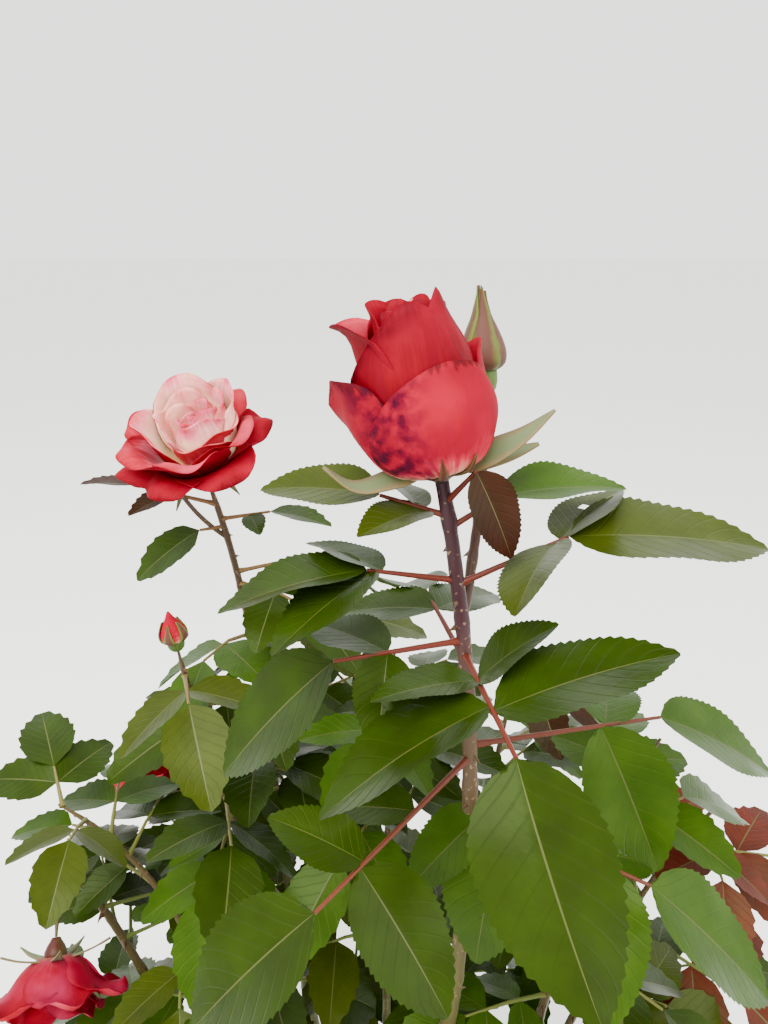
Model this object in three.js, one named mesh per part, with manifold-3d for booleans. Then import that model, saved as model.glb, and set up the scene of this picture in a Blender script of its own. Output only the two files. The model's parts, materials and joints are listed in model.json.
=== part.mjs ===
// A garden rose bush, 0.7 m tall: one grafted foot, canes that fan out of it,
// leafy shoots, large two-coloured blooms and pointed buds.
// Millimetres, +Z up. The origin is on the flat cut at ground level, under the foot.
import * as THREE from "three";
import Module from "manifold-3d";

const wasm = await Module();
wasm.setup();

const { PI, max, min, cos, sin, abs } = Math;
const UP = new THREE.Vector3(0, 0, 1);
const DOWN = new THREE.Vector3(0, 0, -1);
const rad = THREE.MathUtils.degToRad;
const at = (x, y, z) => new THREE.Vector3(x, y, z);

// Driving dimensions.
const CLEAR = 0.3; // gap where one piece is seated on another
const TRIM = 0.15; // faces of a join smaller than this are merged
const FOOT = { flare: 23, waist: 14, knuckle: 21, top: 14, waistAt: 16, knuckleAt: 36, height: 54, spread: 9 };
const CANE_SIDES = 6;
const CANE_STEPS = { whole: 12, bare: 6 };
const SHOOT_SIDES = 4;
const SHOOT_STEPS = 5;
const STALK_STEPS = 2;
const STALK_RADIUS = { root: 1.7, tip: 1.1 };

// Leaflets, as shares of the length of the leaflet at the end of the leaf.
const PAIR_SIZE = [0.84, 0.68];
const PAIR_AT = { 1: [0.6], 2: [0.76, 0.36] };
const PAIR_SPREAD = [62, 74]; // degrees between a leaflet and the stalk
const PAIR_DROOP = [0, 10]; // degrees added to the droop of a leaflet
const BLADE = { width: 0.62, fold: 0.22, curl: 0.16, thick: 0.022, leastThick: 1.1, sink: 1.6 };
// Half outlines of a blade: share of length, share of half width.
const BLADE_SIDE = { fine: [[0.26, 0.93], [0.66, 0.8]], plain: [[0.42, 1]] };

// Canes, each up to the point where its bloom, bud or last leaf sits. A cane starts in the
// foot, or on another cane at a share of that cane's length. aim is the way the tip points,
// splay the angle at which it starts out, from upright or from the cane that bears it,
// leafy the share of its length where the foliage begins, and over how far its leaves may
// stand above the roof of the crown.
const CANES = {
  main: { tip: [21.5, -69, 627], aim: [-0.2, 0, 1], splay: 16, foot: 5.6, end: 2.7 },
  left: { tip: [-97, 56, 590], aim: [-0.14, -0.45, 1], splay: 24, foot: 4.8, end: 1.8, leafy: 0.5, over: 60 },
  left_low: { tip: [-189, -13, 334], aim: [0.1, -0.55, -0.62], splay: 66, foot: 4.2, end: 1.7, leafy: 0.45 },
  right: { tip: [128, -44, 494], aim: [0.35, -0.1, 1], splay: 36, foot: 4.4, end: 1.4, leafy: 0.45 },
  back_right: { tip: [92, 108, 440], aim: [0.3, 0.4, 1], splay: 40, foot: 4.0, end: 1.3, leafy: 0.4 },
  back: { tip: [-22, 138, 425], aim: [0, 0.4, 1], splay: 40, foot: 4.0, end: 1.3, leafy: 0.4 },
  front: { tip: [-34, -158, 318], aim: [-0.1, -0.6, 0.9], splay: 54, foot: 3.8, end: 1.2, leafy: 0.4 },
  front_right: { tip: [124, -128, 340], aim: [0.5, -0.4, 0.8], splay: 60, foot: 3.6, end: 1.2, leafy: 0.4 },
  front_left: { tip: [-128, -112, 350], aim: [-0.5, -0.4, 0.8], splay: 56, foot: 3.6, end: 1.2, leafy: 0.4 },
  heart: { tip: [6, 30, 498], aim: [0.05, 0.1, 1], splay: 3, foot: 4.0, end: 1.3, leafy: 0.45 },
  left_middle: { on: "left", share: 0.4, tip: [-112, 22, 502], aim: [-0.08, -0.15, 1], splay: 38, foot: 2.9,
    end: 1.5, leafy: 0.3, over: 20 },
  left_outer: { on: "left_low", share: 0.3, tip: [-184, 6, 412], aim: [-0.8, -0.1, 0.7], splay: 42, foot: 2.7,
    end: 1.3, leafy: 0.3, over: 20 },
  right_outer: { on: "right", share: 0.34, tip: [192, 8, 412], aim: [0.7, 0.1, 0.75], splay: 46, foot: 2.8,
    end: 1.2, leafy: 0.3, over: 30 },
  back_left: { on: "left", share: 0.22, tip: [-152, 108, 328], aim: [-0.4, 0.3, 0.8], splay: 48, foot: 3.0,
    end: 1.6, leafy: 0.3 },
  bud_shoot: { on: "main", share: 0.9, tip: [40.6, -31.4, 651], aim: [-0.06, 0.1, 1], splay: 40, foot: 2.2,
    end: 1.9 },
};

// Leaves that sit alone on the main cane. share is the height on the cane, heading is degrees
// from +X towards +Y, rise degrees above level, stalk and size millimetres. Each leaflet has
// its share of the stalk, its turn from the stalk, its scale, its droop and its roll.
const LONE_LEAVES = {
  front_fan: { share: 0.876, heading: -84, rise: 6, stalk: 75, twist: 13, size: 76,
    leaflets: [[1, 5, 0.94, 45, 23], [0.57, 83, 0.91, 6, 1], [0.62, -86, 0.87, -12, 6],
      [0.31, 77, 0.55, -20, -2], [0.31, -66, 0.5, -40, 17]] },
  left_fan: { share: 0.932, heading: 189, rise: 11, stalk: 36, twist: 5, size: 60,
    leaflets: [[1, 9, 0.99, 17, -6], [0.92, -35, 0.86, 22, 13], [0.84, 46, 0.64, -8, 0]] },
  right_fan: { share: 0.929, heading: -3, rise: 27, stalk: 46, twist: -1, size: 78,
    leaflets: [[1, -2, 0.97, 23, 11], [0.88, 119, 0.58, -7, 4], [0.93, -46, 0.56, -4, 5]] },
  upper_left_fan: { share: 0.977, heading: 177, rise: 17, stalk: 27, twist: 6, size: 48,
    leaflets: [[1, 9, 0.98, 9, -23], [0.29, -44, 0.7, 10, 0], [0.4, 62, 0.61, -12, 1]] },
  upper_right_leaf: { share: 0.969, heading: 6, rise: 32, stalk: 22, twist: 0, size: 48,
    leaflets: [[1, -1, 1.03, 21, 7]] },
  bronze_leaf: { share: 0.986, heading: -53, rise: 46, stalk: 22, twist: 13, size: 36,
    leaflets: [[1, 3, 0.95, 108, 11]] },
  middle_left_fan: { share: 0.887, heading: 199, rise: 1, stalk: 54, twist: -6, size: 62,
    leaflets: [[1, 4, 1.05, 41, -12], [0.6, -66, 0.6, 26, 0], [0.6, 58, 0.7, 0, 0]] },
  lower_front_fan: { share: 0.79, heading: -132, rise: -8, stalk: 92, twist: -7, size: 72,
    leaflets: [[1, 26, 0.9, 33, -10], [0.75, -85, 0.81, 31, 0], [0.72, 70, 0.56, -18, 0],
      [0.4, 62, 0.5, 4, 0]] },
  lower_right_fan: { share: 0.745, heading: -32, rise: -2, stalk: 78, twist: 8, size: 66,
    leaflets: [[1, -8, 1, 34, 0], [0.62, -52, 0.72, 26, 0], [0.7, 58, 0.84, 24, 0], [0.4, 66, 0.7, 14, 0],
      [0.1, 122, 0.72, 26, 0], [0.2, 84, 0.95, 50, 0]] },
  middle_right_fan: { share: 0.8, heading: 15, rise: -2, stalk: 93, twist: 4, size: 62,
    leaflets: [[1, 16, 1.06, 18, 7], [0.67, 71, 1.06, 44, 26], [0.7, -58, 0.8, 0, 0]] },
  back_fan: { share: 0.87, heading: 104, rise: 6, stalk: 56, twist: 0, size: 58,
    leaflets: [[1, 0, 1, 20, 0], [0.7, 56, 0.86, 8, 0], [0.7, -56, 0.86, 8, 0]] },
};

// Leaves with a place of their own on a leafy shoot, by the name of its cane.
const PLACED_LEAVES = {
  left: [
    { share: 0.965, heading: 186, rise: 16, stalk: 44, twist: 0, size: 30,
      leaflets: [[1, 0, 1, 4, 0], [0.55, -36, 0.9, 22, 0]] },
    { share: 0.935, heading: 206, rise: 0, stalk: 14, twist: 0, size: 44,
      leaflets: [[1, 0, 1, 24, -20]] },
    { share: 0.945, heading: -10, rise: 12, stalk: 30, twist: 0, size: 36,
      leaflets: [[1, 0, 1, 14, 0], [0.6, 60, 0.6, 10, 0]] },
  ],
  left_outer: [
    { share: 0.99, heading: 120, rise: 30, stalk: 25, twist: 0, size: 50,
      leaflets: [[1, 0, 1, 14, 0], [0.6, -58, 0.86, 10, 0], [0.6, 58, 0.86, 10, 0]] },
    { share: 0.9, heading: 178, rise: 14, stalk: 16, twist: 0, size: 38,
      leaflets: [[1, 0, 1, 20, 0]] },
  ],
};

// The foliage keeps under a roof that falls to both sides and to the back, behind a sloping
// front and above the bare lower stems.
const ROOF = { x: 20, y: -50, top: 565, aside: 0.0026, back: 0.53 };
const FRONT = { y: -60, z: 440, slope: 1 };
const LOWEST_LEAF = 60;
const SHOOT_REACH = 130; // leaves of one shoot stay this near its stem
const LEAF_SPACING = 42; // from leaf to leaf along a shoot
const CLEARING = { middle: [-169, -52, 360], reach: 42 }; // free of leaves, before the blown bloom
const LEAF_TRIES = 6; // other headings tried where a leaf has no room
const GOLDEN_TURN = 137.5;

// A number from 0 to 1 that depends only on its keys, so each leaf can be made on its own.
function chance(...keys) {
  let h = 2166136261;
  for (const key of keys) {
    h = Math.imul(h ^ key, 16777619) >>> 0;
    h = (h ^ (h >>> 13)) >>> 0;
  }
  h = Math.imul(h, 2246822519) >>> 0;
  h = (h ^ (h >>> 15)) >>> 0;
  return h / 4294967296;
}
const between = (low, high, ...keys) => low + (high - low) * chance(...keys);
const mix = (a, b, t) => a + (b - a) * t;
const smooth = (t) => t * t * (3 - 2 * t);

// Vertices and triangles, as a solid whose faces point out.
function solid(vertices, triangles) {
  const build = (faces) =>
    new wasm.Manifold(
      new wasm.Mesh({
        numProp: 3,
        vertProperties: new Float32Array(vertices.flatMap((v) => [v.x, v.y, v.z])),
        triVerts: new Uint32Array(faces.flat()),
      }),
    );
  const made = build(triangles);
  return made.volume() < 0 ? build(triangles.map(([a, b, c]) => [a, c, b])) : made;
}

const joined = (solids) => solids.reduce((all, next) => all.add(next));

// The largest body of a join: what it seals is filled and a loose scrap is dropped.
function largestBody(made) {
  return made.decompose().reduce((best, body) => (body.volume() > best.volume() ? body : best));
}

// A limb along a line of points, with a radius and a way at each point and flat ends.
function limb(points, radii, ways, sides) {
  const vertices = [];
  const triangles = [];
  let side = abs(ways[0].z) > 0.9 ? at(1, 0, 0) : UP.clone();
  points.forEach((p, i) => {
    side = side.clone().addScaledVector(ways[i], -side.dot(ways[i])).normalize();
    const other = ways[i].clone().cross(side);
    for (let k = 0; k < sides; k++) {
      const turn = (2 * PI * k) / sides;
      const [x, y] = [radii[i] * cos(turn), radii[i] * sin(turn)];
      vertices.push(p.clone().addScaledVector(side, x).addScaledVector(other, y));
    }
  });
  for (let i = 0; i + 1 < points.length; i++)
    for (let k = 0; k < sides; k++) {
      const a = i * sides + k;
      const b = i * sides + ((k + 1) % sides);
      triangles.push([a, b, b + sides], [a, b + sides, a + sides]);
    }
  const last = (points.length - 1) * sides;
  for (let k = 1; k + 1 < sides; k++) triangles.push([0, k + 1, k], [last, last + k, last + k + 1]);
  return solid(vertices, triangles);
}

// A closed shell over a grid of points: its front, its back and the rim that joins them.
function shell(front, back) {
  const rows = front.length;
  const columns = front[0].length;
  const vertices = [...front.flat(), ...back.flat()];
  const f = (i, j) => i * columns + j;
  const b = (i, j) => rows * columns + f(i, j);
  const triangles = [];
  for (let i = 0; i + 1 < rows; i++)
    for (let j = 0; j + 1 < columns; j++) {
      triangles.push([f(i, j), f(i, j + 1), f(i + 1, j + 1)], [f(i, j), f(i + 1, j + 1), f(i + 1, j)]);
      triangles.push([b(i, j), b(i + 1, j + 1), b(i, j + 1)], [b(i, j), b(i + 1, j), b(i + 1, j + 1)]);
    }
  const rim = [];
  for (let j = 0; j < columns; j++) rim.push([0, j]);
  for (let i = 1; i < rows; i++) rim.push([i, columns - 1]);
  for (let j = columns - 2; j >= 0; j--) rim.push([rows - 1, j]);
  for (let i = rows - 2; i > 0; i--) rim.push([i, 0]);
  rim.forEach(([i, j], k) => {
    const [m, n] = rim[(k + 1) % rim.length];
    triangles.push([f(i, j), b(i, j), b(m, n)], [f(i, j), b(m, n), f(m, n)]);
  });
  return solid(vertices, triangles);
}

// A body turned from a profile of [radius, height] pairs that starts and ends on the axis.
// Lobes, if any, swell and lift it more and more towards its top.
function turned(profile, sides, lobes = 0) {
  const vertices = [];
  const triangles = [];
  const top = max(...profile.map(([, z]) => z));
  const rings = profile.map(([r, z]) => {
    const first = vertices.length;
    const count = r === 0 ? 1 : sides;
    for (let k = 0; k < count; k++) {
      const turn = (2 * PI * k) / sides;
      const wave = lobes && r ? cos(lobes * turn) * (z / top) ** 2 : 0;
      const reach = r * (1 + LOBE.swell * wave);
      vertices.push(at(reach * cos(turn), reach * sin(turn), z + LOBE.lift * wave));
    }
    return { first, count };
  });
  for (let i = 0; i + 1 < rings.length; i++)
    for (let k = 0; k < sides; k++) {
      const [lower, upper] = [rings[i], rings[i + 1]];
      const next = (k + 1) % sides;
      const a = lower.first + (k % lower.count);
      const b = lower.first + (next % lower.count);
      const c = upper.first + (next % upper.count);
      const d = upper.first + (k % upper.count);
      if (lower.count > 1) triangles.push([a, b, c]);
      if (upper.count > 1) triangles.push([a, c, d]);
    }
  return solid(vertices, triangles);
}

// The matrix that stands a shape made along +Z on a point, facing a given way.
function standing(point, aim) {
  return new THREE.Matrix4().compose(point, new THREE.Quaternion().setFromUnitVectors(UP, aim), at(1, 1, 1));
}
const moved = (made, matrix) => made.transform(matrix.elements);

// Cane paths. Each starts out at its own splay and arrives at its tip along its aim.
function caneCurve(cane) {
  const tip = at(...cane.tip);
  const parent = CANES[cane.on];
  const from = parent ? parent.curve.getPoint(cane.share) : at(0, 0, FOOT.knuckleAt);
  const up = parent ? parent.curve.getTangent(cane.share) : UP;
  const out = tip.clone().sub(from);
  out.addScaledVector(up, -out.dot(up)).normalize();
  if (!parent) from.addScaledVector(out, FOOT.spread);
  const start = out.multiplyScalar(sin(rad(cane.splay))).addScaledVector(up, cos(rad(cane.splay)));
  const span = tip.distanceTo(from);
  return new THREE.CubicBezierCurve3(
    from,
    from.clone().addScaledVector(start, span * 0.36),
    tip.clone().addScaledVector(at(...cane.aim).normalize(), -span * 0.34),
    tip,
  );
}
for (const cane of Object.values(CANES)) cane.curve = caneCurve(cane);

const caneRadius = (cane, t) => mix(cane.foot, cane.end, t ** 0.85);

function canePart(cane, from, to, sides, steps, grow = 0) {
  const shares = Array.from({ length: steps + 1 }, (_, i) => mix(from, to, i / steps));
  return limb(
    shares.map((t) => cane.curve.getPoint(t)),
    shares.map((t) => caneRadius(cane, t) + grow),
    shares.map((t) => cane.curve.getTangent(t)),
    sides,
  );
}

// The bare length of a cane. Grown by the gap, it is what a cane on it is cut back by.
function barePart(cane, grow = 0) {
  const steps = cane.leafy ? CANE_STEPS.bare : CANE_STEPS.whole;
  return canePart(cane, 0, cane.leafy ?? 1, CANE_SIDES, steps, grow / cos(PI / CANE_SIDES));
}

// The foot: root flare, waist and the graft knuckle, flat at ground level.
function foot(grow = 0) {
  const { flare, waist, knuckle, top, waistAt, knuckleAt, height } = FOOT;
  const g = grow / cos(PI / 12);
  return turned(
    [[0, 0], [flare + g, 0], [mix(flare, waist, 0.7) + g, waistAt * 0.4],
      [waist + g, waistAt], [knuckle + g, knuckleAt], [knuckle * 0.92 + g, knuckleAt + 8 + g],
      [top + g, height - 3 + g], [0, height + g]],
    12,
  );
}

// One leaf blade: an outline folded along its midrib and curled down towards its tip.
function blade({ base, along, normal, length, width = BLADE.width, curl = BLADE.curl, detail = "fine" }) {
  const side = along.clone().cross(normal).normalize();
  const half = (length * width) / 2;
  const place = (share, across, lift = 0) =>
    base
      .clone()
      .addScaledVector(along, share * length)
      .addScaledVector(side, across * half)
      .addScaledVector(normal, BLADE.fold * abs(across) * half - curl * length * share * max(share, 0) + lift);
  const thick = max(length * BLADE.thick, BLADE.leastThick);
  const left = BLADE_SIDE[detail].map(([share, across]) => place(share, -across));
  const right = BLADE_SIDE[detail].map(([share, across]) => place(share, across)).reverse();
  const ring = [place(-BLADE.sink / length, 0), ...left, place(1, 0), ...right];
  const middle = ring.length;
  const vertices = [...ring, place(0.42, 0, thick / 2), place(0.42, 0, -thick / 2)];
  const triangles = ring.flatMap((_, i) => {
    const next = (i + 1) % ring.length;
    return [[i, next, middle], [next, i, middle + 1]];
  });
  return solid(vertices, triangles);
}

// A compound leaf: where its stalk runs, and where each leaflet sits on it.
function leafPlan({ root, heading, rise, stalk, sag = 0, twist, size, leaflets }) {
  const [h, r] = [rad(heading), rad(rise)];
  const along = at(cos(h) * cos(r), sin(h) * cos(r), sin(r));
  const points = [root.clone()];
  const ways = [];
  for (let k = 0; k < STALK_STEPS; k++) {
    const way = along.clone().addScaledVector(DOWN, (sag * (k + 0.5)) / STALK_STEPS).normalize();
    ways.push(way);
    points.push(points[k].clone().addScaledVector(way, stalk / STALK_STEPS));
  }
  const blades = leaflets.map(([share, turn, scale, droop, roll]) => {
    const k = min(STALK_STEPS - 1, Math.floor(share * STALK_STEPS));
    const way = ways[k];
    const side = at(way.y, -way.x, 0).normalize().applyAxisAngle(way, rad(twist));
    const normal = side.clone().cross(way).normalize();
    const out = way.clone().multiplyScalar(cos(rad(turn))).addScaledVector(side, sin(rad(turn)));
    const hinge = out.clone().cross(normal).normalize();
    out.applyAxisAngle(hinge, -rad(droop));
    return {
      base: points[k].clone().addScaledVector(way, (share * STALK_STEPS - k) * (stalk / STALK_STEPS)),
      along: out,
      normal: hinge.clone().cross(out).normalize().applyAxisAngle(out, rad(roll)),
      length: size * scale,
    };
  });
  return { points, ways, blades };
}

// The leaflets of an ordinary leaf: one at the end and a number of pairs.
function pairedLeaflets(pairs, nod) {
  const sides = PAIR_AT[pairs].flatMap((share, i) => [
    [share, PAIR_SPREAD[i], PAIR_SIZE[i], nod * 0.35 + PAIR_DROOP[i], 0],
    [share, -PAIR_SPREAD[i], PAIR_SIZE[i], nod * 0.35 + PAIR_DROOP[i], 0],
  ]);
  return [[1, 0, 1, nod, 0], ...sides];
}

function leafSolids(plan, detail) {
  const radii = plan.points.map((_, i) => mix(STALK_RADIUS.root, STALK_RADIUS.tip, i / STALK_STEPS));
  const ways = plan.points.map((_, i) => plan.ways[min(i, STALK_STEPS - 1)]);
  return [limb(plan.points, radii, ways, 3), ...plan.blades.map((leaflet) => blade({ ...leaflet, detail }))];
}

// Petals. A petal follows a profile that starts at the heart and ends at the rim.
// opens holds its angle from the bloom's axis at the heart, halfway and at the rim.
const PROFILE_STEPS = 12;
function petalProfile({ length, opens, start = [3, 8] }) {
  const [a, b, c] = opens.map(rad);
  let [r, z] = start;
  const points = [[r, z]];
  for (let i = 0; i < PROFILE_STEPS; i++) {
    const s = (i + 0.5) / PROFILE_STEPS;
    const angle = s < 0.45 ? mix(a, b, smooth(s / 0.45)) : mix(b, c, smooth((s - 0.45) / 0.55));
    r = max(1, r + (sin(angle) * length) / PROFILE_STEPS);
    z += (cos(angle) * length) / PROFILE_STEPS;
    points.push([r, z]);
  }
  return points;
}
const petalWidth = (s) => (s < 0.6 ? mix(0.25, 1, smooth(s / 0.6)) : 1 - 0.2 * ((s - 0.6) / 0.4) ** 2);

function petalPoint(profile, petal, s, w, lift) {
  const share = s * (1 - 0.2 * w * w) * PROFILE_STEPS;
  const i = min(PROFILE_STEPS - 1, Math.floor(share));
  const [r0, z0] = profile[i];
  const [r1, z1] = profile[i + 1];
  const t = share - i;
  const slope = Math.atan2(r1 - r0, z1 - z0);
  const r = mix(r0, r1, t) + lift * cos(slope) + petal.lap * w * s;
  const z = mix(z0, z1, t) - lift * sin(slope);
  const reach = max(mix(r0, r1, t), petal.width * 0.42);
  const turn = rad(petal.turn) + (petalWidth(s) * petal.width * w) / reach;
  return at(r * cos(turn), r * sin(turn), z);
}

const PETAL_THICK = 1.4;
const PETAL_GRIDS = {
  fine: { along: [0, 0.38, 0.78, 1], across: [-1, -0.4, 0.4, 1] },
  plain: { along: [0, 0.5, 1], across: [-1, 0, 1] },
};
function petalSolid(petal) {
  const profile = petalProfile(petal);
  const { along, across } = PETAL_GRIDS[petal.grid ?? "fine"];
  const face = (lift) => along.map((s) => across.map((w) => petalPoint(profile, petal, s, w, lift)));
  return shell(face(PETAL_THICK / 2), face(-PETAL_THICK / 2));
}

// A ring of petals of one kind, the first one turned to a heading in degrees.
const ring = (count, first, petal) =>
  Array.from({ length: count }, (_, i) => ({ lap: 2, ...petal, turn: first + (360 * i) / count }));

// Five sepals round the top of the hip, bent back by an angle from the axis.
function sepalBlades(radius, height, length, back) {
  return Array.from({ length: 5 }, (_, i) => {
    const turn = (2 * PI * i) / 5 + 0.4;
    const out = at(cos(turn), sin(turn), 0);
    const along = out.clone().multiplyScalar(sin(rad(back))).addScaledVector(UP, cos(rad(back)));
    const normal = UP.clone().multiplyScalar(sin(rad(back))).addScaledVector(out, -cos(rad(back)));
    const base = out.clone().multiplyScalar(radius - 2).addScaledVector(UP, height);
    return blade({ base, along, normal, length, width: 0.3, curl: -0.1, detail: "plain" });
  });
}

const HIP = [[0, 0], [2.6, 0], [5, 4], [6.2, 8], [5, 11.5], [0, 12]];
const LOBE = { swell: 0.12, lift: 4 };
const BLOOMS = {
  // Half open, on the main cane: broad guard petals round a tall closed heart.
  half_open_bloom: {
    heart: [[0, 6], [9, 7], [17, 17], [20, 34], [18, 56], [11, 65], [5, 55], [0, 53]],
    lobes: 4,
    petals: ring(3, -62, { length: 54, width: 31, opens: [98, 24, -12], start: [4, 6] }),
    sepals: [32, 80],
  },
  // Fully open: wide outer petals that hang at the rim round a loose cup.
  open_bloom: {
    heart: [[0, 8], [10, 9], [19, 18], [24, 32], [25, 43], [17, 41], [10, 31], [0, 29]],
    lobes: 4,
    petals: ring(5, 0, { length: 46, width: 27, opens: [86, 50, 96], start: [4, 9] }),
    sepals: [24, 112],
  },
  // Blown: limp petals that fall back from a small heart.
  blown_bloom: {
    heart: [[0, 8], [9, 9], [15, 20], [17, 31], [9, 28], [0, 27]],
    lobes: 3,
    petals: ring(5, 12, { length: 46, width: 22, opens: [66, 26, 70], start: [4, 9], grid: "plain" }),
    sepals: [24, 105],
  },
  back_bloom: {
    heart: [[0, 8], [9, 9], [16, 18], [20, 31], [11, 28], [0, 27]],
    lobes: 3,
    petals: ring(5, 40, { length: 42, width: 22, opens: [78, 40, 70], start: [4, 9], grid: "plain" }),
    sepals: [24, 100],
  },
};
function bloomSolid({ heart, lobes, petals, sepals }) {
  const [length, back] = sepals;
  const cup = [turned(HIP, 5), ...sepalBlades(6, 11.5, length, back)];
  return largestBody(joined([...cup, turned(heart, 3 * lobes, lobes), ...petals.map(petalSolid)]));
}

// A pointed bud in its sepals: hip, waist, swollen body and a drawn-out tip.
const BUD_PROFILE = [[0, 0], [0.22, 0], [0.55, 0.08], [0.62, 0.22], [0.6, 0.27], [1, 0.34], [0.96, 0.48],
  [0.62, 0.68], [0.26, 0.86], [0.1, 1], [0, 1]];
const BUDS = {
  tall_bud: { radius: 9.8, height: 41 },
  small_bud: { radius: 8.2, height: 28 },
};
const budSolid = ({ radius, height }) => turned(BUD_PROFILE.map(([r, z]) => [r * radius, z * height]), 7);

// The cane that each bloom and bud ends.
const SEATS = {
  half_open_bloom: "main",
  open_bloom: "left",
  blown_bloom: "left_low",
  back_bloom: "back_left",
  tall_bud: "bud_shoot",
  small_bud: "left_middle",
};
function seated(name, made) {
  const cane = CANES[SEATS[name]];
  const aim = at(...cane.aim).normalize();
  return moved(made, standing(at(...cane.tip).addScaledVector(aim, CLEAR), aim));
}

// The nodes, in the order in which they claim their space.
const solids = new Map();
const slots = new Map();
function keep(name, made, slot) {
  solids.set(name, made.simplify(TRIM));
  slots.set(name, slot);
}

function cuts(a, b) {
  const [p, q] = [a.boundingBox(), b.boundingBox()];
  if ([0, 1, 2].some((k) => p.min[k] > q.max[k] || q.min[k] > p.max[k])) return false;
  return a.intersect(b).volume() > 1e-6;
}

// True where a new piece of a node would cut into another node.
const touches = (made, own) => [...solids].some(([name, other]) => name !== own && cuts(made, other));

keep("foot", foot(), "cane_bark");
for (const [name, cane] of Object.entries(CANES)) {
  const bearer = cane.on ? barePart(CANES[cane.on], CLEAR) : foot(CLEAR);
  const slot = cane.on ? "young_cane" : "cane_bark";
  keep(`cane_${name}`, largestBody(barePart(cane).subtract(bearer)), slot);
}

for (const [name, bloom] of Object.entries(BLOOMS)) keep(name, seated(name, bloomSolid(bloom)), "petal");
for (const [name, bud] of Object.entries(BUDS)) keep(name, seated(name, budSolid(bud)), "sepal");

// A lone leaf starts in the main cane and is cut back to its bark.
function loneLeaf(leaf) {
  const plan = leafPlan({ ...leaf, root: CANES.main.curve.getPoint(leaf.share) });
  return largestBody(joined(leafSolids(plan, "fine")).subtract(barePart(CANES.main, CLEAR)));
}
for (const [name, leaf] of Object.entries(LONE_LEAVES)) keep(`leaf_${name}`, loneLeaf(leaf), "leaf");

// The space that the foliage of a cane keeps to.
function inCrown(cane, p) {
  const top = ROOF.top + (cane.over ?? 0);
  const roof = top - ROOF.aside * (p.x - ROOF.x) ** 2 - ROOF.back * max(0, p.y - ROOF.y);
  const front = p.y < FRONT.y ? FRONT.z + FRONT.slope * (p.y - FRONT.y) : Infinity;
  return p.z > LOWEST_LEAF && p.z < min(roof, front);
}

// Leaf number i of the leaves that a shoot has room for, at its given try.
function shootLeaf(cane, shootKey, i, count, attempt) {
  const key = shootKey + 100 * attempt;
  const share = mix(cane.leafy + 0.02, 0.97, (i + 0.5) / count);
  const young = smooth(max(0, (share - 0.7) / 0.3));
  const pairs = young > 0.5 || chance(key, i, 6) < 0.6 ? 1 : 2;
  return {
    share,
    heading: GOLDEN_TURN * i + 360 * chance(key, 1) + between(-18, 18, key, i, 2),
    rise: between(2, 30, key, i, 3) + 18 * young,
    stalk: between(50, 74, key, i, 4) * mix(1, 0.55, young),
    sag: between(0.2, 0.55, key, i, 5),
    size: between(52, 66, key, i, 7) * mix(1, 0.78, young),
    twist: between(-22, 22, key, i, 9),
    leaflets: pairedLeaflets(pairs, between(10, 40, key, i, 8)),
  };
}

function nearStem(cane, p) {
  for (let i = 0; i <= 6; i++)
    if (cane.curve.getPoint(mix(cane.leafy, 1, i / 6)).distanceTo(p) < SHOOT_REACH) return true;
  return false;
}

// The leafy end of each cane: first every stem, then the leaves in turn, one to each shoot.
const shoots = Object.entries(CANES)
  .map(([name, cane], index) => ({ name: `foliage_${name}`, cane, key: index + 1 }))
  .filter(({ cane }) => cane.leafy);
for (const shoot of shoots) {
  const { cane } = shoot;
  const length = cane.curve.getLength();
  shoot.count = Math.round(((1 - cane.leafy) * length) / LEAF_SPACING);
  const placed = PLACED_LEAVES[shoot.name.replace("foliage_", "")] ?? [];
  const plans = placed.map((leaf) => leafPlan({ ...leaf, root: cane.curve.getPoint(leaf.share) }));
  shoot.parts = [
    canePart(cane, cane.leafy + CLEAR / length, 1, SHOOT_SIDES, SHOOT_STEPS),
    ...plans.flatMap((plan) => leafSolids(plan, "plain")),
  ];
  keep(shoot.name, joined(shoot.parts), "leaf");
}
function roomFor(plan, cane) {
  return plan.blades.every(({ base, along, length }) => {
    const tip = base.clone().addScaledVector(along, length);
    const middle = base.clone().addScaledVector(along, length / 2);
    const clear = middle.distanceTo(at(...CLEARING.middle)) > CLEARING.reach;
    return clear && inCrown(cane, tip) && nearStem(cane, tip);
  });
}
function addLeaf({ name, cane, key, count, parts }, i) {
  for (let attempt = 0; attempt < LEAF_TRIES; attempt++) {
    const leaf = shootLeaf(cane, key, 2 * i, 2 * count, attempt);
    const plan = leafPlan({ ...leaf, root: cane.curve.getPoint(leaf.share) });
    if (!roomFor(plan, cane)) continue;
    const made = joined(leafSolids(plan, "plain"));
    if (touches(made, name) || parts.slice(1).some((other) => cuts(made, other))) continue;
    parts.push(made);
    solids.set(name, joined(parts));
    return;
  }
}
for (let i = 0; i < max(...shoots.map(({ count }) => count)); i++)
  for (const shoot of shoots) if (i < shoot.count) addLeaf(shoot, i);
for (const { name, parts } of shoots) {
  solids.set(name, largestBody(joined(parts)).simplify(TRIM));
}

const MATERIALS = {
  cane_bark: { color: 0x6b5a3c, roughness: 0.6 },
  young_cane: { color: 0x6a2c34, roughness: 0.5 },
  leaf: { color: 0x44661a, roughness: 0.4 },
  petal: { color: 0xd8142e, roughness: 0.55 },
  sepal: { color: 0x8a7a48, roughness: 0.6 },
};

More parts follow.
